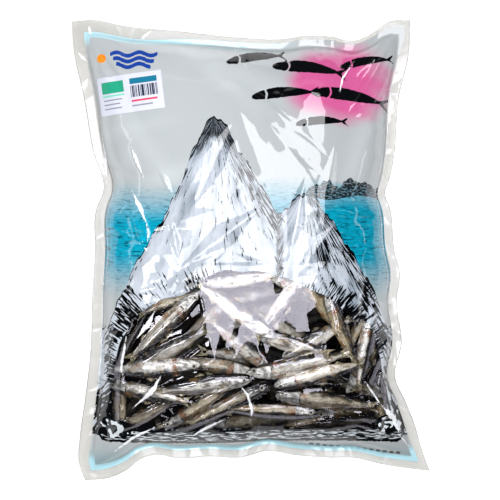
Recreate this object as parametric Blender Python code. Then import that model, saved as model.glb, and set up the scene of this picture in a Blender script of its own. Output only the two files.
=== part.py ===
"""A sealed clear plastic bag filled with one kilogram of dried anchovies, lying on its back.

The bag is a flat pouch sealed on all four sides. Filled, it swells into a pillow: the sides draw in,
the corners stay flat and flare out, and the film puckers along the seals. The fish press against the
lower half of the front. The bag rests on the flattened middle of its back.
X runs across the bag, Y from its foot to its head, Z up through its printed front.
"""

import math
import random

import bmesh
import bpy
import numpy as np
from mathutils import Vector
from mathutils.bvhtree import BVHTree

MM = 0.001

# The flat pouch and how far it swells
POUCH_WIDTH = 320 * MM
POUCH_HEIGHT = 428 * MM
SEAL_WIDTH = 13 * MM
FIN_THICKNESS = 1.0 * MM
FRONT_RISE = 62 * MM
BACK_DROP = 30 * MM
SWELL_POWER = 2.5
SWELL_ROUNDNESS = 0.56
FOOT_HEAVY = 0.08
EDGE_FADE = 4

# How far each edge draws in from the line between its corners: (share of the edge, millimetres)
LEFT_INSET = ((0, 0), (0.04, -5), (0.10, -3), (0.18, 3), (0.29, 10), (0.40, 13), (0.50, 17),
              (0.59, 19), (0.63, 26), (0.72, 17), (0.83, 10), (0.94, 1), (1, 0))
RIGHT_INSET = ((0, 0), (0.05, 7), (0.10, 12), (0.16, 21), (0.205, 29), (0.29, 22), (0.38, 25),
               (0.44, 21), (0.49, 25), (0.58, 27), (0.62, 31), (0.645, 27),
               (0.71, 20.5), (0.82, 15), (0.93, 2.5), (1, 0))
BOTTOM_INSET = ((0, 0), (0.08, 3), (0.125, 10), (0.16, 19), (0.20, 23), (0.27, 19), (0.37, 20),
                (0.45, 18), (0.53, 24), (0.61, 19), (0.70, 16), (0.78, 15), (0.86, 8), (0.94, 3), (1, 0))
TOP_INSET = ((0, 0), (0.06, -1), (0.16, 5), (0.33, 10), (0.48, 15), (0.62, 17), (0.70, 14),
             (0.77, 15), (0.835, 18.5), (0.88, 13), (0.94, 1), (1, 0))

# Corners of the outline, and how high each edge of the seal lies above the table
FOOT_LEFT = (-156 * MM, -214 * MM)
FOOT_RIGHT = (165 * MM, -205 * MM)
HEAD_LEFT = (-168 * MM, 213 * MM)
HEAD_RIGHT = (146 * MM, 213 * MM)
LEFT_LIFT = ((0, 4), (0.12, 13), (0.30, 26), (0.50, 31), (0.64, 30), (0.80, 23), (0.93, 13), (1, 9))
RIGHT_LIFT = ((0, 4), (0.12, 15), (0.22, 25), (0.45, 31), (0.62, 30), (0.80, 25), (0.92, 19), (1, 21))
BOTTOM_LIFT = ((0, 4), (0.09, 8), (0.17, 17), (0.28, 13), (0.38, 18), (0.46, 13), (0.53, 20),
               (0.64, 13), (0.74, 16), (0.86, 10), (0.95, 5), (1, 4))
TOP_LIFT = ((0, 9), (0.10, 13), (0.25, 15), (0.45, 13), (0.60, 15), (0.74, 19), (0.82, 14), (0.92, 21),
            (1, 21))

# Creases of the film
CREASE_SEED = 7
SIDE_CREASES = 13
END_CREASES = 11
CORNER_CREASES = 4

# The heap of fish that shows through the lower half
FISH_SEED = 21
FISH_LENGTH = (80 * MM, 106 * MM)
FISH_DEPTH_SHARE = 0.158
FISH_LAYERS = 3

# The fish that show whole, the uppermost first: middle x and y in millimetres, degrees from snout to
# tail and length in millimetres
SHOWN_FISH = (
    (-91, -108, 184, 92), (-80, -70, 224, 94), (-16, -52, 145, 92),
    (45, -103, 12, 100), (104, -92, 260, 78), (28, -50, 232, 84),
    (82, -72, 293, 74), (-45, -123, 188, 92), (70, -137, 353, 97),
    (18, -147, 177, 86), (-76, -90, 27, 92), (63, -113, 14, 88),
    (-22, -142, 207, 84), (-46, -140, 34, 84), (36, -84, 345, 80),
    (-94, -131, 348, 80), (116, -100, 59, 74), (-121, -136, 88, 72),
    (-8, -86, 141, 84), (-45, -69, 222, 74), (-72, -47, 200, 70),
    (62, -78, 30, 78), (-97, -150, 28, 78), (-37, -105, 172, 80),
    (62, -46, 300, 70), (-4, -25, 8, 86), (-108, -84, 62, 70),
    (96, -122, 160, 80), (118, -142, 268, 64), (104, -152, 2, 74),
)

FISH_TURN_SPREAD = 11
LEFT_SIDE = -0.86
LEFT_SIDE_HEADING = 84
RIGHT_SIDE = 0.72
RIGHT_SIDE_HEADING = 100
HEAP_LOW = -172 * MM
HEAP_HIGH = -14 * MM
HEAP_HALF_WIDTH = 134 * MM
ROW_STEP = 13.5 * MM
FISH_STEP = 72 * MM
ROW_SCATTER = 4 * MM
HEAP_SLUMP = 52 * MM
HEAP_FADE = (14 * MM, 26 * MM, 16 * MM)
RELIEF = 5 * MM
PRESS_OUT = 2.4 * MM
LAYER_STEP = 1.5 * MM

# The paper label stuck on the head end
LABEL_CENTRE = (-111 * MM, 144 * MM)
LABEL_SIZE = (60 * MM, 36 * MM)
LABEL_TURN = math.radians(7.5)
LABEL_THICKNESS = 0.4 * MM
LABEL_GAP = 0.9 * MM
LABEL_COLUMNS = 14
LABEL_ROWS = 9

# Grid of the front: columns across, and rows that are closer together over the fish
COLUMNS = 58
FOOT_ROWS = 5
HEAP_ROWS = 37
HEAD_ROWS = 16
HEAP_SHARE = (0.10, 0.51)


def clear_scene():
    for obj in list(bpy.data.objects):
        bpy.data.objects.remove(obj, do_unlink=True)


def curve_through(knots, at):
    """A smooth curve through the knots, each (place, value in millimetres), read at an array of places."""
    places, values = np.array(knots, float).T
    slopes = np.gradient(values, places)
    index = np.clip(np.searchsorted(places, at, side="right") - 1, 0, len(places) - 2)
    step = places[index + 1] - places[index]
    f = (at - places[index]) / step
    start, end = values[index], values[index + 1]
    lean_in, lean_out = slopes[index] * step, slopes[index + 1] * step
    return MM * (start * (1 + 2 * f) * (1 - f) ** 2 + lean_in * f * (1 - f) ** 2
                 + end * f * f * (3 - 2 * f) - lean_out * f * f * (1 - f))


def edge_point(start, end, inset, inward, lift, at):
    """Points of one sealed edge: the straight line between two corners, drawn in and lifted."""
    drawn = curve_through(inset, at)
    x = start[0] + (end[0] - start[0]) * at + inward[0] * drawn
    y = start[1] + (end[1] - start[1]) * at + inward[1] * drawn
    return np.stack([x, y, curve_through(lift, at)], axis=-1)


def middle_sheet(u, v):
    """The sheet between front and back. What each sealed edge does fades out towards the middle."""
    left = edge_point(FOOT_LEFT, HEAD_LEFT, LEFT_INSET, (1, 0), LEFT_LIFT, v)
    right = edge_point(FOOT_RIGHT, HEAD_RIGHT, RIGHT_INSET, (-1, 0), RIGHT_LIFT, v)
    foot = edge_point(FOOT_LEFT, FOOT_RIGHT, BOTTOM_INSET, (0, 1), BOTTOM_LIFT, u)
    head = edge_point(HEAD_LEFT, HEAD_RIGHT, TOP_INSET, (0, -1), TOP_LIFT, u)
    foot_left, foot_right, head_left, head_right = (
        np.array((*corner, MM * lift)) for corner, lift in (
            (FOOT_LEFT, LEFT_LIFT[0][1]), (FOOT_RIGHT, RIGHT_LIFT[0][1]),
            (HEAD_LEFT, LEFT_LIFT[-1][1]), (HEAD_RIGHT, RIGHT_LIFT[-1][1])))
    u, v = u[..., None], v[..., None]
    foot_line = foot_left + (foot_right - foot_left) * u
    head_line = head_left + (head_right - head_left) * u
    left_line = foot_left + (head_left - foot_left) * v
    right_line = foot_right + (head_right - foot_right) * v
    return (foot_line + (head_line - foot_line) * v
            + (left - left_line) * (1 - u) ** EDGE_FADE + (right - right_line) * u ** EDGE_FADE
            + (foot - foot_line) * (1 - v) ** EDGE_FADE + (head - head_line) * v ** EDGE_FADE)


def swell(u, v):
    """How far the two films stand apart, from 0 at the seal to 1 in the middle."""
    across = np.abs(2 * u - 1) / (1 - 2 * SEAL_WIDTH / POUCH_WIDTH)
    along = np.abs(2 * v - 1) / (1 - 2 * SEAL_WIDTH / POUCH_HEIGHT)
    open_across = np.clip(1 - across ** SWELL_POWER, 0, 1)
    open_along = np.clip(1 - along ** (SWELL_POWER + 0.5), 0, 1)
    return (open_across * open_along) ** SWELL_ROUNDNESS * (1 + FOOT_HEAVY * (1 - 2 * v))


def film_creases():
    """Creases of the front film: start, direction, length, half width and height, in flat pouch metres."""
    draw = random.Random(CREASE_SEED)
    half_w, half_h = POUCH_WIDTH / 2, POUCH_HEIGHT / 2
    found = []

    def add(x, y, heading, length, width, height):
        found.append((x, y, math.cos(heading), math.sin(heading), length, width, height))

    # Short ones that start at the side seals, at the end seals, and fans that start at the corners
    for side, inward in ((-1, 0.0), (1, math.pi)):
        for i in range(SIDE_CREASES):
            place = (i + 0.5 + draw.uniform(-0.3, 0.3)) / SIDE_CREASES * 2 - 1
            add(side * (half_w - SEAL_WIDTH), place * (half_h - 3 * SEAL_WIDTH),
                inward + draw.uniform(-0.5, 0.5), draw.uniform(25, 58) * MM,
                draw.uniform(3.5, 6) * MM, draw.choice((-1, 1)) * draw.uniform(0.8, 1.8) * MM)
    for end, inward in ((-1, math.pi / 2), (1, -math.pi / 2)):
        for i in range(END_CREASES):
            place = (i + 0.5 + draw.uniform(-0.3, 0.3)) / END_CREASES * 2 - 1
            add(place * (half_w - 3 * SEAL_WIDTH), end * (half_h - SEAL_WIDTH),
                inward + draw.uniform(-0.4, 0.4), draw.uniform(25, 52) * MM,
                draw.uniform(4, 7) * MM, draw.choice((-1, 1)) * draw.uniform(0.9, 2.2) * MM)
    for end in (-1, 1):
        for side in (-1, 1):
            to_middle = math.atan2(-end * half_h, -side * half_w)
            for i in range(CORNER_CREASES):
                fan = (i - (CORNER_CREASES - 1) / 2) * 0.28 + draw.uniform(-0.06, 0.06)
                add(side * (half_w - 1.5 * SEAL_WIDTH), end * (half_h - 1.5 * SEAL_WIDTH),
                    to_middle + fan, draw.uniform(60, 105) * MM, draw.uniform(4, 7) * MM,
                    (-1) ** i * draw.uniform(1.4, 2.8) * MM)
    return found


def creased(u, v):
    """Height that the creases add, tapering along each one."""
    x, y = (u - 0.5) * POUCH_WIDTH, (v - 0.5) * POUCH_HEIGHT
    total = np.zeros_like(x)
    for start_x, start_y, run_x, run_y, length, width, height in film_creases():
        along = ((x - start_x) * run_x + (y - start_y) * run_y) / length
        aside = ((x - start_x) * -run_y + (y - start_y) * run_x) / width
        taper = np.clip(along * 5 + 0.6, 0, 1) * np.clip(1 - along, 0, 1)
        total += height * taper * np.exp(-aside * aside)
    return total


def fish_heading(x, y):
    """Which way the fish lie: rising to the right at the upper left, level at the foot, upright at the
    sides."""
    across = x / HEAP_HALF_WIDTH
    up = (y - HEAP_LOW) / (HEAP_HIGH - HEAP_LOW)
    if across > RIGHT_SIDE:
        return math.radians(RIGHT_SIDE_HEADING)
    if across < LEFT_SIDE and up < 0.5:
        return math.radians(LEFT_SIDE_HEADING)
    slope = 12 - 14 * across + 30 * up * max(0.0, 0.35 - across)
    return math.radians(slope - 34 * max(0.0, up - 0.6) * (across > 0))


def fish_places():
    """The upper fish of the heap: x, y, heading, length, layer. First those that show whole, and below
    them row after row, shifted and turned at random."""
    draw = random.Random(FISH_SEED)
    found = [(x * MM, y * MM, math.radians(degrees), length * MM, 0)
             for x, y, degrees, length in SHOWN_FISH]
    y = HEAP_LOW
    while y <= HEAP_HIGH:
        up = (y - HEAP_LOW) / (HEAP_HIGH - HEAP_LOW)
        half = HEAP_HALF_WIDTH * (1 - 0.45 * up ** 3)
        x = -half + draw.uniform(0, 0.5) * FISH_STEP
        while x <= half:
            turn = math.radians(draw.gauss(0, FISH_TURN_SPREAD)) + (math.pi if draw.random() < 0.5 else 0)
            found.append((x, y + draw.uniform(-1, 1) * ROW_SCATTER, fish_heading(x, y) + turn,
                          draw.uniform(*FISH_LENGTH), 1 + draw.randrange(FISH_LAYERS)))
            x += FISH_STEP * draw.uniform(0.75, 1.1)
        y += ROW_STEP
    return found


def fish_half_depth(along, length):
    """Half the depth of a fish of a given length, from its snout at 0 to its tail at 1, fullest near 0.4."""
    inside = np.clip(along, 0, 1)
    return inside ** 0.55 * (1 - inside) ** 0.8 * 1.09 * FISH_DEPTH_SHARE * length


def fish_relief(x, y):
    """How the fish show in the film over the heap: PRESS_OUT over a fish's back, RELIEF less between them."""
    height = np.full(x.shape, -RELIEF)
    for fish_x, fish_y, heading, length, layer in fish_places():
        along = ((x - fish_x) * math.cos(heading) + (y - fish_y) * math.sin(heading)) / length + 0.5
        aside = -(x - fish_x) * math.sin(heading) + (y - fish_y) * math.cos(heading)
        half = np.maximum(fish_half_depth(along, length), 1e-6)
        across = np.where((along > 0) & (along < 1), np.abs(aside) / half, 2)
        back = np.sqrt(np.clip(1 - across * across, 0, 1))
        lifted = -RELIEF + (RELIEF - layer * LAYER_STEP) * back
        height = np.maximum(height, np.where(across < 1, lifted, -RELIEF))
    slump = HEAP_SLUMP * np.abs(x / HEAP_HALF_WIDTH) ** 3
    fade_low, fade_high, fade_side = HEAP_FADE
    low = np.clip((y - HEAP_LOW) / fade_low + 1, 0, 1)
    high = np.clip((HEAP_HIGH - slump - y) / fade_high + 0.85, 0, 1)
    sides = np.clip((HEAP_HALF_WIDTH - np.abs(x)) / fade_side + 0.25, 0, 1)
    return (height + PRESS_OUT) * low * high * sides


def front_height(u, v):
    """Points of the front film at the shares u across and v along the pouch."""
    sheet = middle_sheet(u, v)
    open_share = swell(u, v)
    relief = fish_relief(sheet[..., 0], sheet[..., 1])
    loose = np.clip(open_share * 4, 0, 1)
    sheet[..., 2] += (FIN_THICKNESS / 2 + FRONT_RISE * open_share
                      + loose * relief + np.clip(open_share * 6, 0.25, 1) * creased(u, v))
    return sheet


def back_height(u, v):
    """Points of the back film, flattened where it rests on the table."""
    sheet = middle_sheet(u, v)
    open_share = swell(u, v)
    crease = np.where(open_share > 0, -0.6, 0.25) * creased(u, v)
    crease *= np.where(open_share > 0, np.clip(open_share * 6, 0.0, 1), 1)
    sheet[..., 2] += -FIN_THICKNESS / 2 - BACK_DROP * open_share * (1 + open_share) + crease
    sheet[..., 2] = np.maximum(sheet[..., 2], 0)
    return sheet


def row_places():
    """Shares along the pouch of the grid's rows, closest over the heap of fish."""
    low, high = HEAP_SHARE
    return np.concatenate([np.linspace(0, low, FOOT_ROWS, endpoint=False),
                           np.linspace(low, high, HEAP_ROWS, endpoint=False),
                           np.linspace(high, 1, HEAD_ROWS + 1)])


def object_from(bm, name, material, collection):
    mesh = bpy.data.meshes.new(name)
    bm.to_mesh(mesh)
    bm.free()
    mesh.materials.append(material)
    mesh.shade_smooth()
    obj = bpy.data.objects.new(name, mesh)
    collection.objects.link(obj)
    return obj


def slab_of(columns, rows):
    """A flat closed slab one unit square, as a front grid over a back grid: (mesh, front, back vertices)."""
    bm = bmesh.new()
    bmesh.ops.create_grid(bm, x_segments=columns, y_segments=rows, size=0.5)
    back = list(bm.verts)
    grown = bmesh.ops.extrude_face_region(bm, geom=bm.faces[:], use_keep_orig=True)
    front = [item for item in grown["geom"] if isinstance(item, bmesh.types.BMVert)]
    bmesh.ops.translate(bm, verts=front, vec=(0, 0, 1))
    bmesh.ops.recalc_face_normals(bm, faces=bm.faces[:])
    return bm, front, back


def make_bag(material, collection):
    rows = row_places()
    bm, front, back = slab_of(COLUMNS, len(rows) - 1)
    for verts, surface in ((front, front_height), (back, back_height)):
        across = np.array([vert.co.x + 0.5 for vert in verts])
        row = np.rint([(vert.co.y + 0.5) * (len(rows) - 1) for vert in verts]).astype(int)
        for vert, point in zip(verts, surface(across, rows[row])):
            vert.co = point
    resting = [face for face in bm.faces if all(vert.co.z == 0 for vert in face.verts)]
    bmesh.ops.dissolve_faces(bm, faces=resting, use_verts=True)
    return object_from(bm, "bag", material, collection)


def make_label(bag, material, collection):
    """A thin plate that follows the film just above it."""
    graph = bpy.context.evaluated_depsgraph_get()
    surface = BVHTree.FromObject(bag, graph)
    bm, front, back = slab_of(LABEL_COLUMNS, LABEL_ROWS)
    for verts, lift in ((front, LABEL_GAP + LABEL_THICKNESS), (back, LABEL_GAP)):
        for vert in verts:
            x, y = vert.co.x * LABEL_SIZE[0], vert.co.y * LABEL_SIZE[1]
            place = Vector((LABEL_CENTRE[0] + x * math.cos(LABEL_TURN) - y * math.sin(LABEL_TURN),
                            LABEL_CENTRE[1] + x * math.sin(LABEL_TURN) + y * math.cos(LABEL_TURN),
                            FRONT_RISE * 2))
            hit, normal, _, _ = surface.ray_cast(place, Vector((0, 0, -1)))
            vert.co = hit + normal * lift
    return object_from(bm, "label", material, collection)


def plastic(name, colour, roughness):
    material = bpy.data.materials.new(name)
    material.use_nodes = True
    shader = material.node_tree.nodes["Principled BSDF"]
    shader.inputs["Base Color"].default_value = (*colour, 1)
    shader.inputs["Roughness"].default_value = roughness
    return material


def centre_on_table(objects):
    """Moves the parts so that the middle of the bag's outline is the origin."""
    corners = np.array([vert.co for vert in objects[0].data.vertices])
    middle = (corners.min(axis=0) + corners.max(axis=0)) / 2
    for obj in objects:
        obj.location = (-middle[0], -middle[1], 0)


def main():
    clear_scene()
    parts = bpy.data.collections.new("Dried anchovies")
    bpy.context.scene.collection.children.link(parts)
    bag = make_bag(plastic("Printed film", (0.60, 0.64, 0.66), 0.18), parts)
    bpy.context.view_layer.update()
    label = make_label(bag, plastic("White label paper", (0.86, 0.86, 0.92), 0.35), parts)
    centre_on_table((bag, label))


main()
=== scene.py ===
"""Looks of a sealed bag of dried anchovies: the printed film, the fish behind its window and the paper label.

Everything is in metres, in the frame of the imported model: X runs across the bag, Y from its foot to its
head, and Z up.
"""

import math
import random

import bmesh
import bpy
import numpy as np
from bpy.props import FloatProperty, FloatVectorProperty, IntProperty, PointerProperty
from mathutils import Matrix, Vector
from mathutils.bvhtree import BVHTree


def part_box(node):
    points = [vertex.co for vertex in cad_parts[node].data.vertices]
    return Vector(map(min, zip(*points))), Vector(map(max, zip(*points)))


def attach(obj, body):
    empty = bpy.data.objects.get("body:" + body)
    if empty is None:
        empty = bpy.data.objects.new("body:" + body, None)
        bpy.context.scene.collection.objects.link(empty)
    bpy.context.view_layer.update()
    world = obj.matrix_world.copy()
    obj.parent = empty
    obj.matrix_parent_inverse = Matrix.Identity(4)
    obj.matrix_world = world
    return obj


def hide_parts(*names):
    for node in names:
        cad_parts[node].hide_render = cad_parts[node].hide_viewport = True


bl_info = {
    "name": "Bag of dried anchovies",
    "version": (1, 0, 0),
    "blender": (4, 5, 0),
    "location": "3D View > Sidebar > Anchovy bag",
    "description": "Builds the film, the fish and the label of a filled pouch around its packed solids",
    "category": "Object",
}

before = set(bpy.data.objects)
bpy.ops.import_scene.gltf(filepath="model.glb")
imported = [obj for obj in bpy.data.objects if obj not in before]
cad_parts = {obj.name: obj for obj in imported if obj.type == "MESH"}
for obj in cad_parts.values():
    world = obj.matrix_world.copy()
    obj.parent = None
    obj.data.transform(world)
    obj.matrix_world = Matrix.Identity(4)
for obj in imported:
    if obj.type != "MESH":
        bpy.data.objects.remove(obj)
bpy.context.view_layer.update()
MM = 0.001

# The pouch, as its solid is shaped
POUCH_WIDTH = 320 * MM
POUCH_HEIGHT = 428 * MM
SEAL_WIDTH = 13 * MM
FIN_THICKNESS = 0.5 * MM
FRONT_RISE = 62 * MM
BACK_DROP = 30 * MM
SWELL_POWER = 2.5
SWELL_ROUNDNESS = 0.56
FOOT_HEAVY = 0.08
EDGE_FADE = 4
FOOT_LEFT = (-156 * MM, -214 * MM)
FOOT_RIGHT = (165 * MM, -205 * MM)
HEAD_LEFT = (-168 * MM, 213 * MM)
HEAD_RIGHT = (146 * MM, 213 * MM)

# How far each sealed edge is drawn in from the line between its corners, and how high it stands: the
# place from 0 to 1 along the edge, and millimetres
LEFT_INSET = ((0, 0), (0.04, -5), (0.10, -3), (0.18, 3), (0.29, 10), (0.40, 13), (0.50, 17),
              (0.59, 19), (0.63, 26), (0.72, 17), (0.83, 10), (0.94, 1), (1, 0))
RIGHT_INSET = ((0, 0), (0.05, 7), (0.10, 12), (0.16, 21), (0.205, 29), (0.29, 22), (0.38, 25),
               (0.44, 21), (0.49, 25), (0.58, 27), (0.62, 31), (0.645, 27),
               (0.71, 20.5), (0.82, 15), (0.93, 2.5), (1, 0))
BOTTOM_INSET = ((0, 0), (0.08, 3), (0.125, 10), (0.16, 19), (0.20, 23), (0.27, 19), (0.37, 20),
                (0.45, 18), (0.53, 24), (0.61, 19), (0.70, 16), (0.78, 15), (0.86, 8), (0.94, 3), (1, 0))
TOP_INSET = ((0, 0), (0.06, -1), (0.16, 5), (0.33, 10), (0.48, 15), (0.62, 17), (0.70, 14),
             (0.77, 15), (0.835, 18.5), (0.88, 13), (0.94, 1), (1, 0))
LEFT_LIFT = ((0, 4), (0.12, 13), (0.30, 26), (0.50, 31), (0.64, 30), (0.80, 23), (0.93, 13), (1, 9))
RIGHT_LIFT = ((0, 4), (0.12, 15), (0.22, 25), (0.45, 31), (0.62, 30), (0.80, 25), (0.92, 19), (1, 21))
BOTTOM_LIFT = ((0, 4), (0.09, 8), (0.17, 17), (0.28, 13), (0.38, 18), (0.46, 13), (0.53, 20),
               (0.64, 13), (0.74, 16), (0.86, 10), (0.95, 5), (1, 4))
TOP_LIFT = ((0, 9), (0.10, 13), (0.25, 15), (0.45, 13), (0.60, 15), (0.74, 19), (0.82, 14), (0.92, 21),
            (1, 21))

# Creases of the film, as the solid has them, and the finer folds that break its reflections
CREASE_SEED = 7
SIDE_CREASES = 13
END_CREASES = 11
CORNER_CREASES = 4
FOLD_SEED = 12
BROAD_FOLDS = 34
FINE_FOLDS = 130
SEAL_FOLDS = 84

# Long facets that fan out over the print: middle x and y in millimetres, degrees, length and half width
# in millimetres, and height as a share of the fold height
FAN_FOLDS = ((34, 132, -38, 116, 8, 1.3), (54, 116, -46, 96, 7, -1.4), (40, 98, -52, 104, 10, 1.2),
             (60, 84, -40, 60, 7, -1.3), (8, 96, -70, 120, 13, 0.9), (-30, 84, 62, 90, 10, -1.0),
             (12, 40, -25, 110, 14, 1.2), (50, 30, 75, 90, 11, -1.2), (-24, 12, 35, 100, 13, 1.3),
             (22, -14, -18, 90, 12, 1.4), (66, -4, 48, 84, 10, 1.2), (-16, -62, 84, 96, 14, 1.5),
             (34, -40, -60, 80, 12, -1.2), (-60, 28, 15, 80, 9, 1.0), (84, 60, 80, 100, 10, 1.0),
             (-99, -60, 52, 34, 6, 2.2), (-88, -134, 38, 44, 6, 2.0), (112, -148, 112, 30, 5, -2.0),
             (-84, 66, 118, 40, 4, 1.4), (-72, 8, 100, 52, 5, 1.8))
CALM_SHARE = 0.25

# Where the film is taut over the fish: middle x and y and half sizes, in millimetres
TAUT_FILM = ((4, -44, 60, 32), (-32, -92, 24, 24), (58, -88, 9, 12))
TAUT_CALM = 0.55

# The heap of fish, as the solid shows it
FISH_SEED = 21
FISH_LENGTH = (80 * MM, 106 * MM)
FISH_DEPTH_SHARE = 0.158
FISH_LAYERS = 3

# The fish that show whole, the uppermost first: middle x and y in millimetres, degrees from snout to
# tail, length in millimetres, how bright the skin is, with 1 as the usual most, and how oily, up to 1
SHOWN_FISH = (
    (-91, -108, 184, 92, 1.15, 0.10), (-80, -70, 224, 94, 0.65, 0.30), (-16, -52, 145, 92, 1.00, 0.05),
    (45, -103, 12, 100, 0.75, 0.30), (104, -92, 260, 78, 0.90, 0.15), (28, -50, 232, 84, 0.95, 0.05),
    (82, -72, 293, 74, 0.65, 0.75), (-45, -123, 188, 92, 0.50, 0.20), (70, -137, 353, 97, 0.60, 0.55),
    (18, -147, 177, 86, 0.60, 0.60), (-76, -90, 27, 92, 0.70, 0.20), (63, -113, 14, 88, 0.85, 0.35),
    (-22, -142, 207, 84, 0.60, 0.60), (-46, -140, 34, 84, 0.45, 0.65), (36, -84, 345, 80, 0.90, 0.20),
    (-94, -131, 348, 80, 0.85, 0.20), (116, -100, 59, 74, 0.45, 0.70), (-121, -136, 88, 72, 0.40, 0.60),
    (-8, -86, 141, 84, 0.30, 0.20), (-45, -69, 222, 74, 0.50, 0.40), (-72, -47, 200, 70, 0.60, 0.55),
    (62, -78, 30, 78, 0.70, 0.15), (-97, -150, 28, 78, 0.45, 0.60), (-37, -105, 172, 80, 0.55, 0.45),
    (62, -46, 300, 70, 0.35, 0.80), (-4, -25, 8, 86, 0.90, 0.10), (-108, -84, 62, 70, 0.35, 0.50),
    (96, -122, 160, 80, 0.50, 0.60), (118, -142, 268, 64, 0.40, 0.80), (104, -152, 2, 74, 0.40, 0.75),
)
# Fish that close the gaps between those, in the same columns. The solid doesn't show them
GAP_FISH = (
    (-8, -98, 172, 84, 0.85, 0.20), (88, -86, 60, 68, 0.70, 0.50), (22, -130, 160, 80, 0.75, 0.40),
    (-104, -141, 40, 70, 0.60, 0.50), (0, -159, 5, 88, 0.70, 0.60), (-66, -119, 10, 82, 0.80, 0.30),
    (116, -108, 78, 66, 0.60, 0.70), (121, -134, 95, 62, 0.55, 0.80), (-117, -106, 72, 66, 0.60, 0.40),
    (-122, -128, 92, 62, 0.50, 0.60), (-58, -84, 30, 84, 0.75, 0.30), (34, -72, 150, 80, 0.75, 0.30),
    (-40, -32, 200, 74, 0.70, 0.40), (46, -34, 338, 74, 0.70, 0.40), (52, -152, 8, 84, 0.60, 0.70),
    (-60, -156, 200, 84, 0.60, 0.50), (100, -136, 20, 72, 0.60, 0.50), (-96, -64, 50, 66, 0.60, 0.40),
    (4, -40, 12, 80, 0.85, 0.10), (22, -34, 350, 78, 0.80, 0.10), (14, -56, 22, 80, 0.80, 0.15),
    (-24, -70, 100, 66, 0.70, 0.20), (46, -58, 75, 64, 0.75, 0.20), (-6, -78, 10, 76, 0.70, 0.25),
    (58, -64, 25, 50, 0.70, 0.30), (82, -90, 75, 48, 0.60, 0.60), (22, -93, 160, 52, 0.70, 0.20),
    (-90, -72, 35, 50, 0.60, 0.30), (38, -124, 10, 50, 0.70, 0.40), (-118, -146, 80, 50, 0.50, 0.50),
    (-88, -138, 20, 50, 0.60, 0.50), (98, -110, 30, 50, 0.50, 0.70),
)
FISH_TURN_SPREAD = 11
LEFT_SIDE = -0.86
LEFT_SIDE_HEADING = 84
RIGHT_SIDE = 0.72
RIGHT_SIDE_HEADING = 100
HEAP_LOW = -172 * MM
HEAP_HIGH = -14 * MM
HEAP_HALF_WIDTH = 134 * MM
ROW_STEP = 13.5 * MM
FISH_STEP = 72 * MM
ROW_SCATTER = 4 * MM
HEAP_SLUMP = 52 * MM
HEAP_FADE = (14 * MM, 26 * MM, 16 * MM)
RELIEF = 3.4 * MM
PRESS_OUT = 2.0 * MM
LAYER_STEP = 1.2 * MM

# Grids of the film: the front is fine enough for its print and folds, the back is plain
FRONT_GRID = (220, 294)
BACK_GRID = (110, 147)

# The clear window, as the height of its top edge over the bag's width, in millimetres
WINDOW_TOP = ((-146, -210), (-131, -160), (-125, -108), (-112, -72), (-84, -46), (-54, -37), (-40, -24),
              (0, -19), (44, -30), (73, -45), (92, -62), (116, -88), (123, -124), (128, -165), (143, -210))
WINDOW_FOOT = -163 * MM
WINDOW_CENTRE = (0, -150 * MM)
STROKE_REACH = 120 * MM

# The printed islands, as the height of their ridges over the bag's width, in millimetres. Then their
# peaks, half the width of their outline, and how far one's outline runs on over the other
LEFT_ISLAND = ((-160, -150), (-146, -112), (-136, -82), (-120, -44), (-100, -4), (-84, 22), (-66, 56),
               (-52, 92), (-38, 118), (-28, 120), (-14, 96), (0, 74), (14, 50), (30, 24), (50, -10),
               (80, -70))
RIGHT_ISLAND = ((-30, -70), (-8, -20), (10, 12), (24, 30), (40, 46), (54, 50), (68, 34), (84, 10),
                (100, -16), (116, -46), (128, -82), (140, -120), (150, -160))
LEFT_PEAK = (-33 * MM, 122 * MM)
RIGHT_PEAK = (48 * MM, 54 * MM)
OUTLINE_HALF = 0.8 * MM
LINE_DEPTH = 14 * MM

# Gullies where the pen strokes stand close: middle x and y and half sizes in millimetres. The first
# follow the slopes, the others spread from the window
SLOPE_GULLIES = ((66, -2, 10, 20), (104, -46, 7, 14))
WINDOW_GULLIES = ((-60, -38, 30, 14), (84, -42, 16, 12))

# The far island on the horizon: its ridge and its foot
FAR_ISLAND = ((-170, 20), (34, 48), (52, 55), (66, 63), (78, 59), (92, 65), (106, 60), (122, 57), (150, 44))
FAR_FOOT = 48 * MM

# The horizon, the sea's middle, and how strong its ink is, in hundredths, over y in millimetres
HORIZON = 64 * MM
SEA_MIDDLE = 13 * MM
SEA_DEPTH = ((-48, 0), (-40, 12), (-31, 30), (-23, 50), (-14, 76), (-4, 96), (6, 104), (22, 104), (30, 92),
             (37, 72), (46, 46), (54, 26), (60, 8), (66, 0))

# What is left of the ground's red, green and blue at the foot, where a cyan tint lies over it
FOOT_TINT = (0.66, 0.84, 0.87)

# The dawn's glow: its centre and its half sizes
DAWN_CENTRE = (80 * MM, 153 * MM)
DAWN_REACH = (58 * MM, 42 * MM)

# Soft bands of painted glare, where the ground's colour is paler: middle x and y, degrees, half length and
# half width in millimetres, and how much paler, in parts of the number that follows
GLARE_BANDS = ((-38, 176, -24, 80, 11, 7), (-96, 96, -52, 60, 9, 6), (-60, 74, 20, 46, 8, 7),
              (-20, 150, -40, 40, 7, 4), (100, 100, 74, 44, 8, 7), (-118, 60, 80, 40, 7, 6),
              (60, 190, -12, 50, 6, 6), (-108, 112, 12, 40, 6, 4))
GLARE_PARTS = 62
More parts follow.
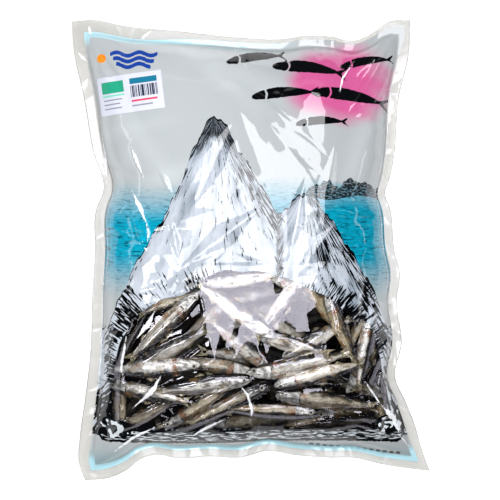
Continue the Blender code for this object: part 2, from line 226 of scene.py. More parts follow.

# Sharp creases of the film, each with a painted highlight along it: half width and the points that each
# passes, in millimetres
GLINT_CREASES = (
    (2.2, ((-112, -69), (-116, -91), (-119, -109), (-114, -120))),
    (2.4, ((-14, -118), (-3, -131), (1, -146), (-1, -157))), (1.6, ((101, -115), (112, -131), (122, -146))),
    (4.6, ((120, -142), (130, -153), (138, -170))), (1.4, ((134, -168), (142, -176), (150, -186))),
    (2.2, ((-84, -160), (-108, -172), (-132, -190))), (3.8, ((-82, -114), (-90, -128), (-108, -144))),
    (4.4, ((-87, -54), (-94, -68), (-104, -80))), (2.4, ((-112, 100), (-104, 82), (-97, 64))),
    (3.6, ((-109, 55), (-101, 40), (-94, 22))), (1.3, ((-96, 30), (-93, 16), (-95, 4))),
    (1.8, ((96, 176), (84, 158), (80, 140))), (2.2, ((-20, -152), (-44, -164), (-56, -172))),
    (2.0, ((-150, 211), (-149, 198))), (2.4, ((-103, 195), (-92, 204))), (2.6, ((-162, 185), (-151, 174))),
    (2.4, ((-158, 148), (-151, 160))), (1.6, ((-140, 120), (-134, 84), (-133, 60))),
)

# What stands for the distance to a crease where there is none near
NO_CREASE = 9.0

# Brush-drawn fish over the dawn: x, y, heading in degrees and length, in millimetres
BRUSH_FISH = ((2, 176, 8, 50), (50, 166, -6, 62), (104, 172, 10, 46), (28, 142, 5, 56),
              (88, 140, -9, 64), (62, 116, 4, 44))
BRUSH_DEPTH_SHARE = 0.2

# The fields that the film's material reads, and its noises: name, grain in millimetres and detail
FILM_FIELDS = ("window", "left_island", "right_island", "far_island", "cord", "knots", "brush", "waves",
               "sun", "rule", "slope_ink", "rim_ink", "slope_across", "slope_along", "rim_across",
               "rim_along", "sea_depth", "inward", "crease", "middle", "head", "dulled", "end")
FILM_GRAINS = (("edge", 2.2, 2.0), ("broken", 9, 1.0), ("clump", 26, 1.0), ("lobes", 7, 1.0),
               ("bristle", 3, 3.0), ("ink", 0.9, 2.0), ("glint_break", 4, 2.0), ("bump", 16, 3.0))

# The dotted rule at the foot's right: its middle, how much it falls to the right, its half length, the
# step of its dots and their half height
RULE_HEIGHT = -183 * MM
RULE_MIDDLE = 96 * MM
RULE_FALL = 0.11
RULE_HALF = 44 * MM
DOT_STEP = 6.2 * MM
DOT_HALF = 1.3 * MM

# The wave mark at the head: its middle, its rows, how far apart they are, how high and long a wave is,
# half a line's width, half a row's length, which each row has less of, and the sun at its side
WAVE_MARK = (-108 * MM, 181 * MM)
WAVE_ROWS = 3
WAVE_STEP = 5.5 * MM
WAVE_HEIGHT = 1.7 * MM
WAVE_LENGTH = 3.4 * MM
WAVE_LINE = 1.9 * MM
WAVE_HALF = 22 * MM
WAVE_SHORTER = 3 * MM
SUN_PLACE = (-138 * MM, 177 * MM)
SUN_RADIUS = 4.2 * MM

# The cord printed under the window, with its round ends and where it thickens to them: place, half
# length and height. Then the lobes of its knots: middle x and y and half sizes, in millimetres
CORD_MIDDLE = -170 * MM
CORD_HALF = 6.5 * MM
CORD_END = 133 * MM
CORD_SWELL = (130 * MM, 9 * MM, 5 * MM)
CORD_KNOTS = ((-124, -164, 17, 9), (-136, -155, 7, 8), (128, -159, 15, 9), (138, -150, 7, 8))

# The paper label, and the fields of colour on it: colour, left, right, low and high in shares of its size
LABEL_SIZE = (60 * MM, 36 * MM)
LABEL_TURN = math.radians(7.5)
LABEL_GRID = (60, 36)
LABEL_GAP = 0.25 * MM
LABEL_PRINT = (("#1D9A78", 0.06, 0.40, 0.56, 0.86), ("#7FC9B4", 0.06, 0.40, 0.47, 0.52),
               ("#8B8E9A", 0.07, 0.36, 0.37, 0.405), ("#8B8E9A", 0.07, 0.32, 0.26, 0.295),
               ("#8B8E9A", 0.07, 0.34, 0.15, 0.185), ("#0F6F8C", 0.50, 0.92, 0.72, 0.87),
               ("#D2405E", 0.50, 0.90, 0.26, 0.31), ("#8B8E9A", 0.50, 0.82, 0.14, 0.18))
LABEL_BARS = (0.50, 0.92, 0.38, 0.68)

# The fish: the most that one piece holds, and the heap's working grid with the gaps that it keeps
FISH_IN_A_PIECE = 92
HEAP_CELL = 1.5 * MM
HEAP_REACH = ((-158 * MM, 158 * MM), (-200 * MM, 30 * MM))
HEAP_MIDDLE = (0, -95 * MM)
END_ROOM = 6.5 * MM
THINNEST_GAP = 1.2 * MM
FILM_GAP = 0.5 * MM
NESTING = 1.4 * MM

# A fish along its length, in thousandths: half depth above and below its middle line, and half width
FISH_BACK = ((0, 0), (12, 16), (40, 34), (90, 50), (160, 63), (240, 70), (340, 76), (440, 76), (560, 70),
             (680, 58), (780, 43), (850, 31), (885, 25), (900, 0))
FISH_BELLY = ((0, 0), (12, 12), (40, 28), (90, 48), (160, 64), (240, 76), (340, 86), (440, 87), (560, 79),
              (680, 62), (780, 44), (850, 30), (885, 24), (900, 0))
FISH_SIDE = ((0, 0), (12, 13), (40, 27), (90, 40), (160, 49), (240, 53), (340, 54), (440, 52), (560, 45),
             (680, 33), (780, 20), (850, 12), (885, 8), (900, 0))
BODY_END = 0.90
GILL = 0.235
EYE_PLACE = (0.072, 0.012)
EYE_RADIUS = 0.031
BODY_RINGS = 34
BODY_SIDES = 22
EYE_RINGS = 6
EYE_SIDES = 10
BODY, TAIL, DORSAL, ANAL, PECTORAL, EYE = range(6)

# The tail, in shares of the fish: where it starts, how far it reaches, how deep its notch is, half its
# height at its root and how much that grows, and the most that it curls
TAIL_START = 0.862
TAIL_REACH = 0.145
TAIL_NOTCH = 0.062
TAIL_HALF_HEIGHT = 0.021
TAIL_SPREAD = 0.038
TAIL_CURL = 0.035

# The fins: the part and the cuts of its sheet, then the place, length, height and sweep of those on the
# middle line, and the place, length and height of those at the sides, in shares of the fish
FIN_CUTS = ((TAIL, (4, 6)), (DORSAL, (3, 2)), (ANAL, (3, 2)), (PECTORAL, (3, 2)), (PECTORAL, (3, 2)))
MIDDLE_FINS = ((DORSAL, 0.44, 0.10, 0.040, 0.06), (ANAL, 0.66, 0.10, -0.026, 0.04))
SIDE_FIN_PLACE = (0.25, -0.045)
SIDE_FIN_LENGTH = 0.10
SIDE_FIN_THICKNESS = 0.0012

# Uneven drying, as waves over the body: how many along it, how many round it, and their height
DRY_WAVES = ((2, 3, 0.035), (5, 2, 0.035), (9, 5, 0.022), (1, 6, 0.04), (14, 3, 0.018))

# How a fish is tried in the heap: the curves of its back per metre, its pitches, how much height a pitch
# has to win, and the share of its length on either side of its middle that is tried
SEAT_CURVES = (0.0, -1.1, -2.2)
SEAT_PITCHES = (-0.32, -0.2, -0.1, 0.0, 0.1, 0.2, 0.32)
PITCH_COST = 2.0 * MM
TRIED_SHARE = 0.42

# How the fish roll and bend: the spread of the roll in radians and the share that lies on edge, for the
# listed fish and for the others, and the most that a back bends per metre. Then how many places are
# tried for each fish that closes a gap, and how far its heading spreads in radians
SHOWN_LIE = (0.22, 0.0)
OTHER_LIE = (0.42, 0.18)
BEND_MOST = 1.2
GAP_TRIES = 7
GAP_TURN = 0.35

# How bright and how oily the skin of a fish is that no table names: the middle and the spread
BRIGHTNESS = (0.50, 0.28)
OILINESS = (0.45, 0.33)

# How a fish moves towards the heap's middle to have room for its ends, and how its points do that lie
# where the films meet: the most steps, and the share of the way that each step takes
MOVE_STEPS = 30
MOVE_SHARE = 0.04
PULL_STEPS = 14
PULL_SHARE = 0.02

# The noises of the fish's skin: name, grain in millimetres and detail
SKIN_GRAINS = (("stain", 8, 4.0), ("blood", 7, 4.0), ("belly", 9, 3.0), ("plate", 5, 2.0), ("faded", 5, 3.0),
               ("membrane", 2, 3.0), ("speck", 1.3, 2.0), ("wrinkle", 2.2, 5.0), ("sheen", 4, 3.0))

# The mass below the fish that show: its grid, its inset in shares of the pouch, how deep it lies below
# the film and below the fish, how far above the back, and how thin it gets
CORE_GRID = (100, 130)
CORE_INSET = 0.115
CORE_DEPTH = 9 * MM
CORE_BELOW_FISH = 1.5 * MM
CORE_ABOVE_BACK = 2 * MM
CORE_THINNEST = 1 * MM

# The camera, which shows a pixel's size at the level of the bag's edges, and the floor
CAMERA_HEIGHT = 2.6
PIXEL_SIZE = 0.925 * MM
PHOTO_PIXELS = 500
EDGE_LEVEL = 20 * MM
VIEW_CENTRE = (-0.9 * MM, 0.5 * MM)
FLOOR_HALF = 4
FLOOR_HEIGHT = -0.3 * MM

# The lights: name, place, width and length in metres, the brightness of the face and its colour
LIGHT_TARGET = (0, 0, 0.05)
LIGHTS = (("Large softbox", (0.15, 0.28, 1.30), (0.60, 1.74), 8.6, "#FCFCFF"),
          ("Left softbox", (-0.72, -0.22, 1.10), (0.26, 0.34), 18.0, "#FFFFFF"),
          ("Left strip", (-1.30, 0.30, 0.90), (1.2, 0.10), 3.5, "#FFFFFF"),
          ("Right strip", (1.30, -0.10, 0.90), (1.1, 0.09), 3.5, "#FFFFFF"),
          ("Head strip", (0.0, 1.35, 0.90), (1.2, 0.10), 1.0, "#FFFFFF"),
          ("Foot strip", (0.1, -1.35, 0.80), (1.1, 0.10), 4.0, "#FFFFFF"))


def linear(code):
    """An sRGB hex colour as linear red, green and blue."""
    parts = [int(code[i:i + 2], 16) / 255 for i in (1, 3, 5)]
    return tuple(c / 12.92 if c <= 0.04045 else ((c + 0.055) / 1.055) ** 2.4 for c in parts)


class BagSizes(bpy.types.PropertyGroup):
    """Sizes that a user would change."""

    extra_fish: IntProperty(
        name="Fish below", description="Fish that fill the gaps between those against the film",
        default=100, min=0, max=200)
    fold_height: FloatProperty(
        name="Fold height", description="How far the film's larger folds stand up",
        default=1.6 * MM, min=0, max=5 * MM, subtype="DISTANCE", unit="LENGTH")
    label_thickness: FloatProperty(
        name="Label thickness", description="Thickness of the paper label",
        default=0.15 * MM, min=0.05 * MM, max=1 * MM, subtype="DISTANCE", unit="LENGTH")


class BagColours(bpy.types.PropertyGroup):
    """Colours that a user would change."""

    ground: FloatVectorProperty(
        name="Print ground", description="Silver-grey ink of the ground",
        default=linear("#AAAFB0"), size=3, min=0, max=1, subtype="COLOR")
    sea: FloatVectorProperty(
        name="Sea", description="Turquoise ink of the printed sea",
        default=linear("#06869F"), size=3, min=0, max=1, subtype="COLOR")
    dawn: FloatVectorProperty(
        name="Dawn", description="Pink ink of the glow at the head",
        default=linear("#BE5588"), size=3, min=0, max=1, subtype="COLOR")
    snow: FloatVectorProperty(
        name="Pale ink", description="Pale ink that fills the islands",
        default=linear("#BFC6CE"), size=3, min=0, max=1, subtype="COLOR")
    ink: FloatVectorProperty(
        name="Black ink", description="Black ink of brush and pen",
        default=linear("#050608"), size=3, min=0, max=1, subtype="COLOR")
    paper: FloatVectorProperty(
        name="Label paper", description="Coated paper of the label",
        default=linear("#CFD1DE"), size=3, min=0, max=1, subtype="COLOR")


def curve_through(knots, at):
    """A smooth curve through the knots, each (place, value in millimetres), read at an array of places."""
    places, values = np.array(knots, float).T
    slopes = np.gradient(values, places)
    index = np.clip(np.searchsorted(places, at, side="right") - 1, 0, len(places) - 2)
    step = places[index + 1] - places[index]
    f = (at - places[index]) / step
    start, end = values[index], values[index + 1]
    lean_in, lean_out = slopes[index] * step, slopes[index + 1] * step
    return MM * (start * (1 + 2 * f) * (1 - f) ** 2 + lean_in * f * (1 - f) ** 2
                 + end * f * f * (3 - 2 * f) - lean_out * f * f * (1 - f))


def edge_point(start, end, inset, inward, lift, at):
    """Points of one sealed edge: the straight line between two corners, drawn in and lifted."""
    drawn = curve_through(inset, at)
    x = start[0] + (end[0] - start[0]) * at + inward[0] * drawn
    y = start[1] + (end[1] - start[1]) * at + inward[1] * drawn
    return np.stack([x, y, curve_through(lift, at)], axis=-1)


def middle_sheet(u, v):
    """The sheet between front and back. What each sealed edge does fades out towards the middle."""
    left = edge_point(FOOT_LEFT, HEAD_LEFT, LEFT_INSET, (1, 0), LEFT_LIFT, v)
    right = edge_point(FOOT_RIGHT, HEAD_RIGHT, RIGHT_INSET, (-1, 0), RIGHT_LIFT, v)
    foot = edge_point(FOOT_LEFT, FOOT_RIGHT, BOTTOM_INSET, (0, 1), BOTTOM_LIFT, u)
    head = edge_point(HEAD_LEFT, HEAD_RIGHT, TOP_INSET, (0, -1), TOP_LIFT, u)
    foot_left, foot_right, head_left, head_right = (
        np.array((*corner, MM * lift)) for corner, lift in (
            (FOOT_LEFT, LEFT_LIFT[0][1]), (FOOT_RIGHT, RIGHT_LIFT[0][1]),
            (HEAD_LEFT, LEFT_LIFT[-1][1]), (HEAD_RIGHT, RIGHT_LIFT[-1][1])))
    u, v = u[..., None], v[..., None]
    foot_line = foot_left + (foot_right - foot_left) * u
    head_line = head_left + (head_right - head_left) * u
    left_line = foot_left + (head_left - foot_left) * v
    right_line = foot_right + (head_right - foot_right) * v
    return (foot_line + (head_line - foot_line) * v
            + (left - left_line) * (1 - u) ** EDGE_FADE + (right - right_line) * u ** EDGE_FADE
            + (foot - foot_line) * (1 - v) ** EDGE_FADE + (head - head_line) * v ** EDGE_FADE)


def swell(u, v):
    """How far the two films stand apart, from 0 at the seal to 1 in the middle."""
    across = np.abs(2 * u - 1) / (1 - 2 * SEAL_WIDTH / POUCH_WIDTH)
    along = np.abs(2 * v - 1) / (1 - 2 * SEAL_WIDTH / POUCH_HEIGHT)
    open_across = np.clip(1 - across ** SWELL_POWER, 0, 1)
    open_along = np.clip(1 - along ** (SWELL_POWER + 0.5), 0, 1)
    return (open_across * open_along) ** SWELL_ROUNDNESS * (1 + FOOT_HEAVY * (1 - 2 * v))


def film_creases():
    """Creases of the front film: start, direction, length, half width and height, in flat pouch metres."""
    draw = random.Random(CREASE_SEED)
    half_w, half_h = POUCH_WIDTH / 2, POUCH_HEIGHT / 2
    found = []

    def crease(x, y, heading, length, width, height):
        found.append((x, y, math.cos(heading), math.sin(heading), length, width, height))

    for side, inward in ((-1, 0.0), (1, math.pi)):
        for i in range(SIDE_CREASES):
            place = (i + 0.5 + draw.uniform(-0.3, 0.3)) / SIDE_CREASES * 2 - 1
            crease(side * (half_w - SEAL_WIDTH), place * (half_h - 3 * SEAL_WIDTH),
                   inward + draw.uniform(-0.5, 0.5), draw.uniform(25, 58) * MM,
                   draw.uniform(3.5, 6) * MM, draw.choice((-1, 1)) * draw.uniform(0.8, 1.8) * MM)
    for end, inward in ((-1, math.pi / 2), (1, -math.pi / 2)):
        for i in range(END_CREASES):
            place = (i + 0.5 + draw.uniform(-0.3, 0.3)) / END_CREASES * 2 - 1
            crease(place * (half_w - 3 * SEAL_WIDTH), end * (half_h - SEAL_WIDTH),
                   inward + draw.uniform(-0.4, 0.4), draw.uniform(25, 52) * MM,
                   draw.uniform(4, 7) * MM, draw.choice((-1, 1)) * draw.uniform(0.9, 2.2) * MM)
    for end in (-1, 1):
        for side in (-1, 1):
            to_middle = math.atan2(-end * half_h, -side * half_w)
            for i in range(CORNER_CREASES):
                fan = (i - (CORNER_CREASES - 1) / 2) * 0.28 + draw.uniform(-0.06, 0.06)
                crease(side * (half_w - 1.5 * SEAL_WIDTH), end * (half_h - 1.5 * SEAL_WIDTH),
                       to_middle + fan, draw.uniform(60, 105) * MM, draw.uniform(4, 7) * MM,
                       (-1) ** i * draw.uniform(1.4, 2.8) * MM)
    return found


def creased(u, v):
    """Height that the creases add, tapering along each one."""
    x, y = (u - 0.5) * POUCH_WIDTH, (v - 0.5) * POUCH_HEIGHT
    total = np.zeros_like(x)
    for start_x, start_y, run_x, run_y, length, width, height in film_creases():
        along = ((x - start_x) * run_x + (y - start_y) * run_y) / length
        aside = ((x - start_x) * -run_y + (y - start_y) * run_x) / width
        taper = np.clip(along * 5 + 0.6, 0, 1) * np.clip(1 - along, 0, 1)
        total += height * taper * np.exp(-aside * aside)
    return total


def film_folds(fold_height):
    """Flat-sided folds of stiff film: middle, direction, length, half width and height. Each is a long
    low roof of four planes, and where many cross they leave the flat facets that catch the light."""
    draw = random.Random(FOLD_SEED)
    half_w, half_h = POUCH_WIDTH / 2, POUCH_HEIGHT / 2
    found = []
    for count, lengths, widths, share in ((BROAD_FOLDS, (70, 170), (18, 40), 1.0),
                                          (FINE_FOLDS, (18, 60), (4, 11), 0.36)):
        for _ in range(count):
            heading = draw.uniform(0, math.pi)
            x, y = draw.uniform(-0.92, 0.92) * half_w, draw.uniform(-0.94, 0.94) * half_h
            # The film lies calm over the air at the head's middle
            calm = y > -10 * MM and abs(x) < 105 * MM and y < 178 * MM
            height = draw.uniform(0.5, 1.2) * share * fold_height * (CALM_SHARE if calm else 1)
            found.append((x, y, math.cos(heading), math.sin(heading), draw.uniform(*lengths) * MM,
                          draw.uniform(*widths) * MM, draw.choice((-1, 1)) * height))
    for x, y, degrees, length, width, height in FAN_FOLDS:
        heading = math.radians(degrees)
        found.append((x * MM, y * MM, math.cos(heading), math.sin(heading), length * MM, width * MM,
                      height * fold_height))
    for _ in range(SEAL_FOLDS):
        at_end = draw.random() < 0.42
        side = draw.choice((-1, 1))
        x = draw.uniform(-1, 1) * half_w if at_end else side * (half_w - draw.uniform(0, 2) * SEAL_WIDTH)
        y = side * (half_h - draw.uniform(0, 2) * SEAL_WIDTH) if at_end else draw.uniform(-1, 1) * half_h
        heading = (math.pi / 2 if at_end else 0) + draw.gauss(0, 0.5)
        found.append((x, y, math.cos(heading), math.sin(heading), draw.uniform(22, 60) * MM,
                      draw.uniform(3, 8) * MM, draw.choice((-1, 1)) * draw.uniform(0.5, 1.3) * fold_height))
    return found


def folded(u, v, fold_height):
    """Height that the folds add."""
    x, y = (u - 0.5) * POUCH_WIDTH, (v - 0.5) * POUCH_HEIGHT
    total = np.zeros_like(x)
    for mid_x, mid_y, run_x, run_y, length, width, height in film_folds(fold_height):
        along = np.abs((x - mid_x) * run_x + (y - mid_y) * run_y) * 2 / length
        aside = np.abs((x - mid_x) * -run_y + (y - mid_y) * run_x) / width
        total += height * np.clip(1 - along - aside, 0, 1)
    return total


def fish_heading(x, y):
    """Which way the fish lie: rising to the right at the upper left, level at the foot and upright at the
    sides."""
    across = x / HEAP_HALF_WIDTH
    up = (y - HEAP_LOW) / (HEAP_HIGH - HEAP_LOW)
    if across > RIGHT_SIDE:
        return math.radians(RIGHT_SIDE_HEADING)
    if across < LEFT_SIDE and up < 0.5:
        return math.radians(LEFT_SIDE_HEADING)
    slope = 12 - 14 * across + 30 * up * max(0.0, 0.35 - across)
    return math.radians(slope - 34 * max(0.0, up - 0.6) * (across > 0))


def fish_places():
    """The upper fish of the heap: x, y, heading, length, layer. First those that show whole, and below
    them row after row, shifted and turned at random."""
    draw = random.Random(FISH_SEED)
    found = [(x * MM, y * MM, math.radians(degrees), length * MM, 0)
             for x, y, degrees, length, _, _ in SHOWN_FISH]
    y = HEAP_LOW
    while y <= HEAP_HIGH:
        up = (y - HEAP_LOW) / (HEAP_HIGH - HEAP_LOW)
        half = HEAP_HALF_WIDTH * (1 - 0.45 * up ** 3)
        x = -half + draw.uniform(0, 0.5) * FISH_STEP
        while x <= half:
            turn = math.radians(draw.gauss(0, FISH_TURN_SPREAD)) + (math.pi if draw.random() < 0.5 else 0)
            found.append((x, y + draw.uniform(-1, 1) * ROW_SCATTER, fish_heading(x, y) + turn,
                          draw.uniform(*FISH_LENGTH), 1 + draw.randrange(FISH_LAYERS)))
            x += FISH_STEP * draw.uniform(0.75, 1.1)
        y += ROW_STEP
    return found


def fish_half_depth(along, length):
    """Half the depth of a fish of a given length, from its snout at 0 to its tail at 1, fullest near 0.4."""
    inside = np.clip(along, 0, 1)
    return inside ** 0.55 * (1 - inside) ** 0.8 * 1.09 * FISH_DEPTH_SHARE * length


def taut_share(x, y):
    """Where the film spans the topmost fish without dipping between them, from 0 to 1."""
    share = np.zeros(x.shape)
    lean = x + 0.18 * y
    for middle_x, middle_y, half_x, half_y in TAUT_FILM:
        inside = np.minimum(half_x * MM - np.abs(lean - middle_x * MM),
                            half_y * MM - np.abs(y - middle_y * MM))
        share = np.maximum(share, smooth_step(inside, -2 * MM, 2 * MM))
    return share


def fish_relief(x, y):
    """How the fish show in the film over the heap: PRESS_OUT over a fish's back, RELIEF less between them."""
    height = np.full(x.shape, -RELIEF)
    for fish_x, fish_y, heading, length, layer in fish_places():
        along = ((x - fish_x) * math.cos(heading) + (y - fish_y) * math.sin(heading)) / length + 0.5
        aside = -(x - fish_x) * math.sin(heading) + (y - fish_y) * math.cos(heading)
        half = np.maximum(fish_half_depth(along, length), 1e-6)
        across = np.where((along > 0) & (along < 1), np.abs(aside) / half, 2)
        back = np.sqrt(np.clip(1 - across * across, 0, 1))
        lifted = -RELIEF + (RELIEF - layer * LAYER_STEP) * back
        height = np.maximum(height, np.where(across < 1, lifted, -RELIEF))
    slump = HEAP_SLUMP * np.abs(x / HEAP_HALF_WIDTH) ** 3
    fade_low, fade_high, fade_side = HEAP_FADE
    low = np.clip((y - HEAP_LOW) / fade_low + 1, 0, 1)
    high = np.clip((HEAP_HIGH - slump - y) / fade_high + 0.85, 0, 1)
    sides = np.clip((HEAP_HALF_WIDTH - np.abs(x)) / fade_side + 0.25, 0, 1)
    return (height + PRESS_OUT) * low * high * sides


def front_points(u, v, fold_height):
    """Points of the front film at the shares u across and v along the pouch."""
    sheet = middle_sheet(u, v)
    open_share = swell(u, v)
    taut = taut_share(sheet[..., 0], sheet[..., 1])
    relief = fish_relief(sheet[..., 0], sheet[..., 1]) * (1 - taut) + 0.4 * MM * taut
    loose = np.clip(open_share * 4, 0, 1)
    slack = 1 - TAUT_CALM * taut
    sheet[..., 2] += (FIN_THICKNESS / 2 + FRONT_RISE * open_share
                      + loose * relief + slack * np.clip(open_share * 6, 0.25, 1) * creased(u, v)
                      + slack * folded(u, v, fold_height) * np.clip(open_share * 4, 0.6, 1))
    return sheet


def back_points(u, v, fold_height):
    """Points of the back film, flattened where it rests on the table."""
    sheet = middle_sheet(u, v)
    open_share = swell(u, v)
    crease = np.where(open_share > 0, -0.6, 0.25) * creased(u, v)
    crease *= np.where(open_share > 0, np.clip(open_share * 6, 0.0, 1), 1)
    fold = folded(u, v, fold_height) * np.where(open_share > 0, -0.5, 0.6)
    sheet[..., 2] += -FIN_THICKNESS / 2 - BACK_DROP * open_share * (1 + open_share) + crease + fold
    sheet[..., 2] = np.maximum(sheet[..., 2], 0)
    return sheet


def triangle_wave(x, length, phase):
    """A wave of straight flanks from -1 to 1."""
    return 4 * np.abs((x / length + phase) % 1 - 0.5) - 1


def ridge(x, knots, phase):
    """Height of a rocky ridge over x: its main line and two sizes of crag."""
    return (curve_through(knots, np.clip(x / MM, knots[0][0], knots[-1][0]))
            + 2.2 * MM * triangle_wave(x, 17 * MM, phase) + 1.1 * MM * triangle_wave(x, 6.3 * MM, 2 * phase))


def brush_fish_field(x, y):
    """How far inside a brush-drawn fish a point is, in metres: a tapering body with a gap at the gill, and
    a forked tail."""
    field = np.full(x.shape, -1.0)
    for fish_x, fish_y, degrees, size in BRUSH_FISH:
        heading, length = math.radians(degrees), size * MM
        along = ((x - fish_x * MM) * math.cos(heading) + (y - fish_y * MM) * math.sin(heading)) / length + 0.5
        aside = -(x - fish_x * MM) * math.sin(heading) + (y - fish_y * MM) * math.cos(heading)
        aside = aside - 2.5 * MM * np.sin(along * math.pi)
        inside = np.clip(along, 0, 1)
        body = inside ** 0.5 * (1 - inside) ** 0.7 * BRUSH_DEPTH_SHARE * length
        body = np.where((along > 0) & (along < 1), body - np.abs(aside), -1.0)
        spread = (along - 0.93) * 0.55 * length
        tail = np.minimum(spread - np.abs(aside), np.abs(aside) - (along - 1.03) * 0.9 * length)
        tail = np.where((along > 0.93) & (along < 1.12), tail, -1.0)
        gill = np.abs(along - 0.23 - 0.03 * np.cos(aside / (3 * MM))) * length - 0.9 * MM
        field = np.maximum(field, np.maximum(np.minimum(body, gill), tail))
    return field


def print_fields(x, y):
    """The print as fields over the front: each is in metres, and is positive where its ink or gap is."""
    # The clear window, with an uneven top edge, and the islands
    across = np.clip(x / MM, WINDOW_TOP[0][0], WINDOW_TOP[-1][0])
    window_top = curve_through(WINDOW_TOP, across) + 1.2 * MM * np.sin(x / (7 * MM)) * np.cos(x / (17 * MM))
    steep = 1 + np.clip(np.abs(x) - 105 * MM, 0, 25 * MM) / (10 * MM)
    window = np.minimum((window_top - y) / steep, y - WINDOW_FOOT)
    left = ridge(x, LEFT_ISLAND, 0.2)
    right = ridge(x, RIGHT_ISLAND, 0.55)
    far = np.minimum(ridge(x, FAR_ISLAND, 0.8) - y, y - FAR_FOOT + 2 * MM * np.sin(x / (9 * MM)))
    above_cord = y - CORD_MIDDLE
    left_island = np.minimum(left - y, above_cord)
    right_island = np.minimum(right - y, above_cord)

    # The cord with its knots, which the window stops short of
    cord_wave = CORD_MIDDLE + 1.5 * MM * np.sin(x / (40 * MM))
    past_end = np.maximum(np.abs(x) - CORD_END, 0)
    swell_place, swell_half, swell_height = CORD_SWELL
    knot = swell_height * np.exp(-((np.abs(x) - swell_place) / swell_half) ** 2)
    cord = CORD_HALF + knot - np.hypot(past_end, y - cord_wave - knot)
    knots = np.full(x.shape, -1.0)
    for knot_x, knot_y, half_x, half_y in CORD_KNOTS:
        lobe = 1 - np.hypot((x - knot_x * MM) / (half_x * MM), (y - knot_y * MM) / (half_y * MM))
        knots = np.maximum(knots, lobe * half_y * MM)
    cord = np.maximum(cord, knots)
    window = np.minimum(window, 0.6 * MM - cord)

    # The wave mark and its sun, and the dotted rule
    waves = np.full(x.shape, -1.0)
    for row in range(WAVE_ROWS):
        centre = WAVE_MARK[1] - WAVE_STEP * row + WAVE_HEIGHT * np.sin((x - WAVE_MARK[0]) / WAVE_LENGTH)
        reach = WAVE_HALF - WAVE_SHORTER * row - np.abs(x - WAVE_MARK[0])
        waves = np.maximum(waves, np.minimum(WAVE_LINE - np.abs(y - centre), reach))
    rule_y = RULE_HEIGHT - RULE_FALL * (x - RULE_MIDDLE)
    dots = 1.6 * MM * triangle_wave(x, DOT_STEP, 0) + 0.5 * MM
    rule = np.minimum(DOT_HALF - np.abs(y - rule_y), dots)
    rule = np.minimum(rule, RULE_HALF - np.abs(x - RULE_MIDDLE))
    sun = SUN_RADIUS - np.hypot(x - SUN_PLACE[0], y - SUN_PLACE[1])

    return {
        "window": window, "left_island": left_island, "right_island": right_island, "far_island": far,
        "cord": cord, "knots": knots, "brush": brush_fish_field(x, y), "waves": waves, "sun": sun,
        "rule": rule,
    }


def crease_distance(x, y):
    """Distance to the middle of the nearest sharp crease, in shares of its half width there. Each crease
    tapers to both ends."""
    nearest = np.full(x.shape, NO_CREASE)
    for half_width, line in GLINT_CREASES:
        parts = len(line) - 1
        for part, ((start_x, start_y), (end_x, end_y)) in enumerate(zip(line, line[1:])):
            run_x, run_y = (end_x - start_x) * MM, (end_y - start_y) * MM
            from_x, from_y = x - start_x * MM, y - start_y * MM
            share = np.clip((from_x * run_x + from_y * run_y) / (run_x ** 2 + run_y ** 2), 0, 1)
            taper = (0.15 + 0.85 * np.sin(math.pi * (part + share) / parts) ** 2) * half_width * MM
            nearest = np.minimum(nearest, np.hypot(from_x - share * run_x, from_y - share * run_y) / taper)
    return nearest


def smooth_step(value, low, high):
    """0 below the low value, 1 above the high one, and an even rise between."""
    f = np.clip((value - low) / (high - low), 0, 1)
    return f * f * (3 - 2 * f)


def print_colours(x, y, colours):
    """The print's soft colours: the ground, the sea with its pale horizon, and the dawn. Gives them and how
    strong the sea's ink is."""
    # The ground: its brightness drifts, painted shade darkens it towards the right, bands of painted glare
    # lie over it, and its foot is tinted
    haze = 1 + 0.05 * np.sin(x / (60 * MM)) * np.cos(y / (75 * MM) + 0.6)
    # Painted shade: the ground gets darker towards the right
    haze -= 0.12 * smooth_step(x, -80 * MM, 130 * MM)
    # Painted glare: soft pale bands that stand for the film's reflections
    for band_x, band_y, degrees, half_length, half_width, paler in GLARE_BANDS:
        heading = math.radians(degrees)
        from_x, from_y = x - band_x * MM, y - band_y * MM
        along = (from_x * math.cos(heading) + from_y * math.sin(heading)) / (half_length * MM)
        aside = (from_y * math.cos(heading) - from_x * math.sin(heading)) / (half_width * MM)
        haze += paler / GLARE_PARTS * np.exp(-along ** 4 - aside ** 2)
    low_down = 1 - smooth_step(y, -198 * MM, -176 * MM)
    colour = np.array(colours.ground) * haze[..., None]
    colour = colour * (1 - low_down[..., None] * (1 - np.array(FOOT_TINT)))

    # The sea: it is wider and deeper to the right, and its ink fades at the horizon and at the foot
    wider = 1.0 - 0.26 * smooth_step(x, -20 * MM, 110 * MM)
    above = y - SEA_MIDDLE
    swell_y = SEA_MIDDLE + above * np.where(above > 0, wider, 1.0)
    swell_y = swell_y + 3 * MM * np.sin(x / (11 * MM)) * np.cos(y / (17 * MM))
    at = np.clip(swell_y / MM, SEA_DEPTH[0][0], SEA_DEPTH[-1][0])
    depth = curve_through(SEA_DEPTH, at) / MM / 100
    depth = depth * smooth_step(HORIZON - y + 5 * MM * np.sin(x / (24 * MM)), 0, 4 * MM)
    share = np.clip(depth * (1 + 0.12 * smooth_step(x, 0, 90 * MM)), 0, 1)
    paler = 1.22 - 0.30 * smooth_step(x, -90 * MM, 90 * MM)
    colour = colour * (1 - share[..., None]) + np.array(colours.sea) * (paler * share)[..., None]

    # The dawn: a round glow with a ragged edge
    glow = np.hypot((x - DAWN_CENTRE[0]) / DAWN_REACH[0], (y - DAWN_CENTRE[1]) / DAWN_REACH[1])
    ragged = np.sin(x / (13 * MM)) * np.sin(y / (11 * MM))
    ragged = ragged + 0.6 * np.sin((x + y) / (6 * MM)) * np.sin(y / (5 * MM))
    glow = 1 - smooth_step(glow + 0.09 * ragged, 0.52, 1.04)
    colour = colour * (1 - glow[..., None]) + np.array(colours.dawn) * glow[..., None]
    return colour, depth


